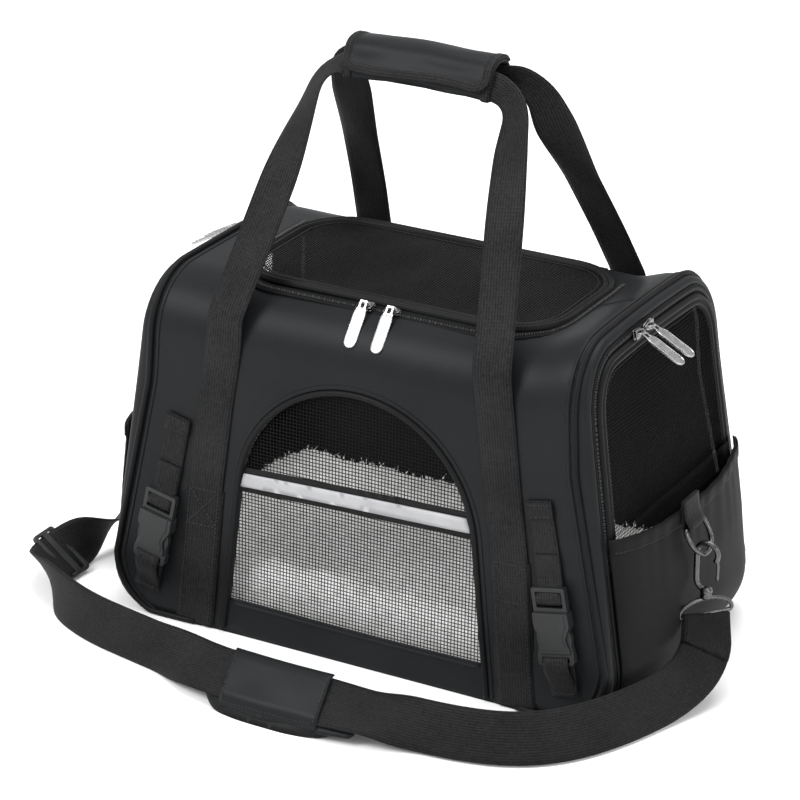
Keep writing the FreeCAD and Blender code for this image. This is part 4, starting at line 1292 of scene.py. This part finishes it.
def make_zip_hardware():
    lid_normal = (0, math.cos(LID_FACE), math.sin(LID_FACE))
    for word, side in SIDES:
        hinge = np.array(joint_of(f"lid_pull_{word}_swing")["pos_m"]) / MM
        spot = hinge - np.array(lid_normal) * HINGE_STAND + [0, 1.5, 0]
        make_slider(f"lid_slider_{word}", f"lid_slider_{word}_body", spot, lid_normal, (side, 0, 0))
        make_pull(f"lid_pull_{word}", f"lid_pull_{word}_body", hinge,
                  (0, -math.sin(LID_PULL_DROP), -math.cos(LID_PULL_DROP)),
                  (1, 0, 0), SILVER if word == "left" else SLIDER_METAL)
        for place in ("front", "rear"):
            hinge = np.array(joint_of(f"{word}_door_pull_{place}_swing")["pos_m"]) / MM
            hinge[2] += 6.0 if word == "right" else 1.0
            normal = unit(np.array([side, 0, 0.14]))
            along = (0, -1, 0) if place == "rear" else (0, 1, 0)
            make_slider(f"{word}_door_slider_{place}", f"{word}_door_slider_{place}_body",
                        hinge - normal * HINGE_STAND,
                        normal, along)
            make_pull(f"{word}_door_pull_{place}", f"{word}_door_pull_{place}_body", hinge,
                      (side * math.cos(DOOR_PULL_DIP), 0, -math.sin(DOOR_PULL_DIP)), (0, 1, 0), SILVER)


# ------------------------------------------------------------------ strap rings and hooks


def wire(path, radius, closed=True, count=8):
    """A round wire along a path."""
    path = np.asarray(path, float)
    heading = unit(np.roll(path, -1, axis=0) - np.roll(path, 1,
                                                       axis=0)) if closed else unit(np.gradient(path, axis=0))
    middle = path.mean(axis=0)
    rough = unit(path - middle + 1e-6)
    side = unit(np.cross(rough, heading))
    return sweep(path, side, unit(np.cross(heading, side)), ring(radius, count), closed)


RING_SHIFT = np.array([0.0, -16.0, 12.0])
EYE_TURN = (0.6, 0.8)


def make_ring_set(word, side):
    """The D-ring with its snap hook and swivel eye, hung a little nearer the front than the joint."""
    bar = np.array(joint_of(f"{word}_ring_swing")["pos_m"]) / MM
    tilt = math.radians(30)
    body = f"{word}_ring_set"

    def slanted(points):
        """Y and drop along the ring's tilted plane."""
        spots = [(bar[0] + side * w * math.sin(tilt), y, bar[2] - w * math.cos(tilt)) for y, w in points]
        return np.array(spots) + RING_SHIFT
    loop = [(-13, 0), (13, 0), (14.8, 1.6), (15, 8)] + arc((0, 8), 15, 0, 180, 14)[1:] + [(-14.8, 1.6)]
    loop = soften(resample(loop, 1.8), 1)
    piece(f"{word}_ring_wire", wire(slanted(loop), 1.8), DARK_METAL, body=body, nodes=[f"{word}_d_ring"])
    hook_x = abs(bar[0]) + 23 * math.sin(tilt)
    centre = 93.9
    line = arc((0, centre), 8.3, -38, 180, 16) + [(-8.3, 78)] + arc((0, 72.5), 8.3, 180, 262, 6)
    line = soften(resample(line, 1.8, closed=False), 1, closed=False)
    path = np.array([(side * (hook_x + u), 0, z) for u, z in line]) + RING_SHIFT
    hook = [wire(path, 2.1, closed=False, count=10)]
    turns = [(66.6, 2.8), (65.6, 4.3), (63, 4.6), (61.6, 3.6), (60.6, 4.4), (58.6, 4.4), (57.8, 3.2)]
    spine = np.array([(side * hook_x, 0, z) for z, _ in turns]) + RING_SHIFT
    flat_side = np.broadcast_to([1.0, 0, 0], spine.shape)
    flat_up = np.broadcast_to([0, 1.0, 0], spine.shape)
    hook.append(sweep(spine, flat_side, flat_up, np.array([ring(r, 12) for _, r in turns])))
    piece(f"{word}_hook_wire", join(hook), DARK_METAL, body=body, nodes=[f"{word}_snap_hook"])
    gate = np.array([(8.0, 74.5), (8.5, 77), (8.6, 84), (8.0, 90.4)])
    path = np.array([(side * (hook_x + u), 0, z) for u, z in resample(gate, 1.5, closed=False)]) + RING_SHIFT
    piece(f"{word}_gate_wire", wire(path, 1.25, closed=False), DARK_METAL, body=f"{word}_gate",
          nodes=[f"{word}_hook_gate"])
    eye = [(-20, 45.2), (20, 45.2), (21.6, 46.6), (21.4, 49)] + arc((0, 44.4), 21.6, 14, 166, 12)
    squash = [(y, z if z < 50 else 50 + (z - 50) * 0.5) for y, z in eye] + [(-21.4, 49), (-21.6, 46.6)]
    line = soften(resample(squash, 2), 1)
    path = np.array([(side * (hook_x + EYE_TURN[0] * y), EYE_TURN[1] * y, z) for y, z in line]) + RING_SHIFT
    piece(f"{word}_eye_wire", wire(path, 1.6), DARK_METAL, body=body, nodes=[f"{word}_strap_eye"])


def make_ring_tabs():
    """The webbing loops on the pocket hems that hold the D-rings."""
    forms = []
    for word, side in SIDES:
        x = abs(joint_of(f"{word}_ring_swing")["pos_m"][0]) / MM
        line = [(x - 3.0, 136), (x - 2.2, 128), (x - 0.6, 121), (x + 2.6, 117.4), (x + 3.2, 114.4),
                (x + 0.6, 112),
                (x - 2.0, 113.6), (x - 3.2, 118), (x - 4.0, 128), (x - 4.6, 136)]
        line = soften(resample(line, 1.6, closed=False), 3, closed=False)
        path = np.array([(side * u, 0, w) for u, w in line]) + RING_SHIFT
        across = np.broadcast_to([0, 1.0, 0], path.shape)
        up = unit(np.cross(across, unit(np.gradient(path, axis=0))))
        forms.append(sweep(path, across, up, tape_section(25, 1.5, 6)))
    piece("ring_tab_tapes", join(forms), WEBBING, nodes=["ring_tabs"])


# ------------------------------------------------------------------ shoulder strap

LIE = 19.2
ROUTE = [(-238, -16, 58), (-240, -19, 48), (-246, -30, 37), (-256, -50, 27), (-275, -78, 17),
         (-277, -108, 15.5), (-259, -138, 18), (-230, -161, LIE), (-192, -178, LIE), (-150, -187, LIE),
         (-100, -197, LIE), (-50, -208, 21.5), (0, -211, 22.5), (50, -209.5, 21.5), (92, -203, LIE),
         (132, -200, LIE), (167, -191, LIE), (194, -173, LIE), (214, -146, LIE), (229, -113, LIE),
         (240, -80, 20), (247, -52, 27), (246, -30, 37), (240, -19, 48), (238, -16, 58)]
STRAP_WIDTH = 38.0


def nurbs_points(route, detail=6):
    """Points along the smooth curve whose control points are the route."""
    data = bpy.data.curves.new("route", "CURVE")
    data.dimensions = "3D"
    spline = data.splines.new("NURBS")
    spline.points.add(len(route) - 1)
    for point, spot in zip(spline.points, route):
        point.co = (*(c * MM for c in spot), 1)
    spline.order_u = 3
    spline.use_endpoint_u = True
    spline.resolution_u = detail
    carrier = bpy.data.objects.new("route", data)
    mesh = bpy.data.meshes.new_from_object(carrier)
    points = np.array([tuple(v.co) for v in mesh.vertices]) / MM
    bpy.data.objects.remove(carrier)
    bpy.data.meshes.remove(mesh)
    bpy.data.curves.remove(data)
    return points


def strap_frames(path):
    """Width and face directions: the strap lies across each eye, and twists to stand on edge on the floor."""
    heading = unit(np.gradient(path, axis=0))
    along = np.concatenate([[0], np.cumsum(np.linalg.norm(np.diff(path, axis=0), axis=1))])
    from_end = np.minimum(along, along[-1] - along)
    share = smooth((from_end - 14) / 85)[:, None]
    outward = np.where(path[:, 0] > 0, 1.0, -1.0)
    inward = unit(np.stack([-heading[:, 1], heading[:, 0], np.zeros(len(path))], axis=1))
    at_pad = smooth((120 - np.abs(path[:, 0] + 6)) / 52)
    at_glide = np.exp(-((along - 112) / 42) ** 2)
    turn = np.radians(14 + 38 * at_pad + 12 * smooth((path[:, 0] - 20) / 60) - 72 * at_glide)[:, None]
    lean = inward * np.sin(turn) + np.array([0, 0, 1.0]) * np.cos(turn)
    across_eye = np.stack([-outward * EYE_TURN[0], np.full(len(path), -EYE_TURN[1]), np.zeros(len(path))],
                          axis=1)
    width = across_eye * (1 - share) + lean * share
    width = unit(width - heading * (width * heading).sum(axis=1, keepdims=True))
    return width, unit(np.cross(heading, width)), along


def make_strap():
    path = nurbs_points(ROUTE)
    width, up, along = strap_frames(path)
    section = tape_section(STRAP_WIDTH, 1.8, 10)
    sag = 1.0 * np.sin(along / 37.0)
    sections = np.repeat(section[None], len(path), axis=0)
    sections[..., 1] += sag[:, None] * (1 - (sections[..., 0] / 19) ** 2)
    lowest = np.abs(width[:, 2]) * STRAP_WIDTH / 2
    path[:, 2] = np.maximum(path[:, 2], lowest + 0.3)
    strap = piece("strap_tape", sweep(path, width, up, sections), STRAP, body="root",
                  nodes=["shoulder_strap"])
    folds = []
    for first in (True, False):
        reach = np.flatnonzero(along < 30) if first else np.flatnonzero(along > along[-1] - 30)
        folds.append(sweep(path[reach] + up[reach] * 2.1, width[reach], up[reach],
                           tape_section(37.6, 1.8, 8)))
    fold = piece("strap_folds", join(folds), STRAP)
    return strap, fold, (path, width, up, along)


def strap_spot(path, width, up, along, at):
    """A point on the strap's middle line, with its heading, width and face directions."""
    k = int(np.searchsorted(along, at).clip(1, len(path) - 2))
    heading = unit(path[k + 1] - path[k - 1])
    return path[k], heading, width[k], up[k]


def make_glide(strap_line):
    """The three-bar slider, lying in the strap's own plane where the strap turns."""
    path, width, up, along = strap_line
    k = int(np.argmin(np.linalg.norm(path[:, :2] - [-282.6, -94], axis=1)))
    spot, heading, across, _ = strap_spot(path, width, up, along, along[k])
    place = frame_from(spot, across, heading)
    slots = [[(a + x, s) for a, s in rounded(2.6, 19.6, 1.2, 4)] for x in (-5.6, 5.6)]
    made = piece("glide_frame", slab([rounded(12, 22.5, 3, 5)] + slots, place, -1.6, 1.6), PLASTIC,
                 body="tri_glide_body", nodes=["tri_glide"])
    return bevelled(made, 0.6)


PAD_LEAN = math.radians(52)
PAD_MIDDLE = (-209.6, 22.0)


def pad_place(flat, offset):
    """The strap's leaning face at the pad: along X, and up across the strap. Offset rises from it."""
    a, w = np.asarray(flat, float).T
    bow = 0.0006 * a ** 2
    y = PAD_MIDDLE[0] + bow + w * math.sin(PAD_LEAN) - offset * math.cos(PAD_LEAN)
    z = PAD_MIDDLE[1] + w * math.cos(PAD_LEAN) + offset * math.sin(PAD_LEAN)
    return np.stack([a, y, np.maximum(z, 0.4)], axis=1)


def make_shoulder_pad():
    """The padded sleeve: a foam pad under the strap, and a cloth sleeve stitched to it over the strap."""
    outline = [(-70, 2), (-66, 12), (-56, 18), (-40, 20), (36, 20), (50, 17), (57, 8), (58, -4), (50, -18),
               (34, -27),
               (10, -31), (-30, -31), (-54, -27), (-66, -16), (-70, -6)]
    loop = soften(resample(outline, 4), 4)
    flat, faces = fill([loop], 3.6)
    gap = np.full(len(flat), 1e9)
    for spot in resample(loop, 3.6):
        gap = np.minimum(gap, np.hypot(*(flat - spot).T))
    thick = 1.0 + 3.0 * np.sqrt(smooth(gap / 9))
    middle = -6.2 + 0.4 * ripple(flat[:, 0] / 50, flat[:, 1] / 40, 1.0)
    top, under = pad_place(flat, middle + thick), pad_place(flat, middle - thick)
    count = len(flat)
    if np.cross(flat[faces[0][1]] - flat[faces[0][0]], flat[faces[0][2]] - flat[faces[0][0]]) < 0:
        faces = faces[:, ::-1]
    shape = [tuple(f) for f in faces] + [tuple(f[::-1] + count) for f in faces]
    shape += [(b, a, a + count, b + count) for a, b in boundary(faces)]
    form = (np.concatenate([top, under]), shape, np.concatenate([flat, flat]))
    pad = piece("shoulder_pad_foam", form, BINDING, body="shoulder_pad_body", nodes=["shoulder_pad"])

    def sleeve(flat_spots, offset):
        a, w = np.asarray(flat_spots, float).T
        crown = 3.2 * (1 - smooth((np.abs(w) - 15) / 8)) - 2.4 * smooth((-w - 17) / 7)
        return pad_place(flat_spots, offset + crown + 0.5 * ripple(a / 55, w / 50, 0.3))
    wavy = [(x, -24 + 1.2 * math.sin(x / 9)) for x in range(-40, 30, 8)]
    edge = [(-52, 21), (-48, -24), *wavy, (34, -23), (30, 21)]
    made = piece("shoulder_pad_sleeve", skin([edge], sleeve, 3.2, 0.8, -0.8), NYLON, body="shoulder_pad_body")
    flat_area([edge])
    tongue = [[(34, -25), (33, -19), (58, -17), (63, -19), (60, -23)]]
    made_tongue = piece("shoulder_pad_tongue", skin(tongue, pad_place, 3.0, -0.6, -2.0), NYLON,
                        body="shoulder_pad_body")
    rows = [stitches(sleeve, [(x + (w - 21) * slant, w) for w in (19, -21)], 1.1)
            for x, slant in ((-49, -0.08), (28, -0.08))]
    rows.append(stitches(sleeve, [(-46, -21), (31, -20)], 1.1))
    seam = piece("shoulder_pad_stitches", join(rows), THREAD, body="shoulder_pad_body")
    return [pad, made, made_tongue, seam]


# ------------------------------------------------------------------ inside


def make_fleece():
    """The white fleece mat with its raised bolster, and tufts of pile along its surface."""
    low, high = (np.array(corner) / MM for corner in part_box("fleece_pad"))
    half_x, half_y = (high[0] - low[0]) / 2, (high[1] - low[1]) / 2
    corner = 32.0
    flat, faces = fill([rounded(half_x - 2, half_y - 2, corner - 2)], 4.2)
    inner = np.abs(flat) - np.array([half_x - corner, half_y - corner])
    depth = corner - np.linalg.norm(np.maximum(inner, 0), axis=1) - np.minimum(inner.max(axis=1), 0)
    bolster = np.sqrt(np.clip(1 - ((depth - 15) / 16) ** 2, 0, 1))
    height = np.where(depth < 15, 14 + 34 * bolster, 22 + 26 * bolster)
    height = height + 2.0 * ripple(flat[:, 0] / 60, flat[:, 1] / 60, 5.0)
    height += 1.8 * ripple(flat[:, 0] / 11, flat[:, 1] / 12, 1.0) + rng.normal(0, 0.7, len(flat))
    height = np.minimum(height, high[2] - low[2] + 3)
    top = np.stack([flat[:, 0], flat[:, 1], low[2] + height], axis=1)
    under = np.stack([flat[:, 0], flat[:, 1], np.full(len(flat), low[2] + 0.3)], axis=1)
    count = len(flat)
    shape = [tuple(f) for f in faces] + [tuple(f[::-1] + count) for f in faces]
    shape += [(b, a, a + count, b + count) for a, b in boundary(faces)]
    made = piece("fleece_mat", (np.concatenate([top, under]), shape, np.concatenate([flat, flat])), FLEECE,
                 nodes=["fleece_pad"])
    picks = rng.choice(len(flat), 3200)
    roots = top[picks] + rng.uniform(-2, 2, (len(picks), 3)) * [1, 1, 0.3]
    lean = unit(rng.normal(0, 0.55, (len(picks), 3)) + [0, 0, 1])
    length = rng.uniform(2.5, 6.0, len(picks))[:, None]
    turn = rng.uniform(0, 2 * math.pi, len(picks))
    points, shape = [], []
    for k in range(3):
        angle = turn + k * 2 * math.pi / 3
        points.append(roots + np.stack([np.cos(angle), np.sin(angle), 0 * angle], axis=1) * 0.9)
    points.append(roots + lean * length)
    total = len(picks)
    for i in range(total):
        a, b, c, d = i, i + total, i + 2 * total, i + 3 * total
        shape += [(a, b, d), (b, c, d), (c, a, d), (c, b, a)]
    spots = np.concatenate(points)
    piece("fleece_pile", (spots, shape, spots[:, :2]), FLEECE)


def dress_cad():
    """Materials for the CAD nodes that stay: the board and the stiffening wires."""
    for node, material in (("base_board", BOARD), ("arch_wires", DARK_METAL)):
        made = frame["nodes"][node]
        made.data.materials.clear()
        made.data.materials.append(material)


def make_floor():
    made, tree, surface = shader("floor_paint", Roughness=0.9)
    colour = ramp(tree, noise_of(tree, 3, 2), (0.90, 0.90, 0.90), (0.93, 0.93, 0.93), 0.3, 0.7)
    tree.links.new(colour, surface.inputs["Base Color"])
    mesh = bpy.data.meshes.new("floor")
    reach = 7.0
    mesh.from_pydata([(-reach, -reach, 0), (reach, -reach, 0), (reach, reach, 0), (-reach, reach, 0)], [],
                     [(0, 1, 2, 3)])
    mesh.materials.append(made)
    floor = bpy.data.objects.new("floor", mesh)
    bpy.context.scene.collection.objects.link(floor)


make_camera()
make_light()
make_floor()
make_shell()
make_piping()
make_window()
make_bands()
make_door_zips()
for word, side in SIDES:
    make_door(word, side)
    make_pocket(word, side)
    make_tether(word, side)
    make_ring_set(word, side)
make_males()
make_ring_tabs()
make_lid()
make_handle("front", -1)
make_handle("rear", 1)
make_grip()
make_zip_hardware()
make_fleece()
dress_cad()
strap, strap_fold, strap_line = make_strap()
strap_path, strap_along = strap_line[0], strap_line[3]
glide = make_glide(strap_line)
pad_pieces = make_shoulder_pad()
[tuple(p * MM) for p in strap_path]
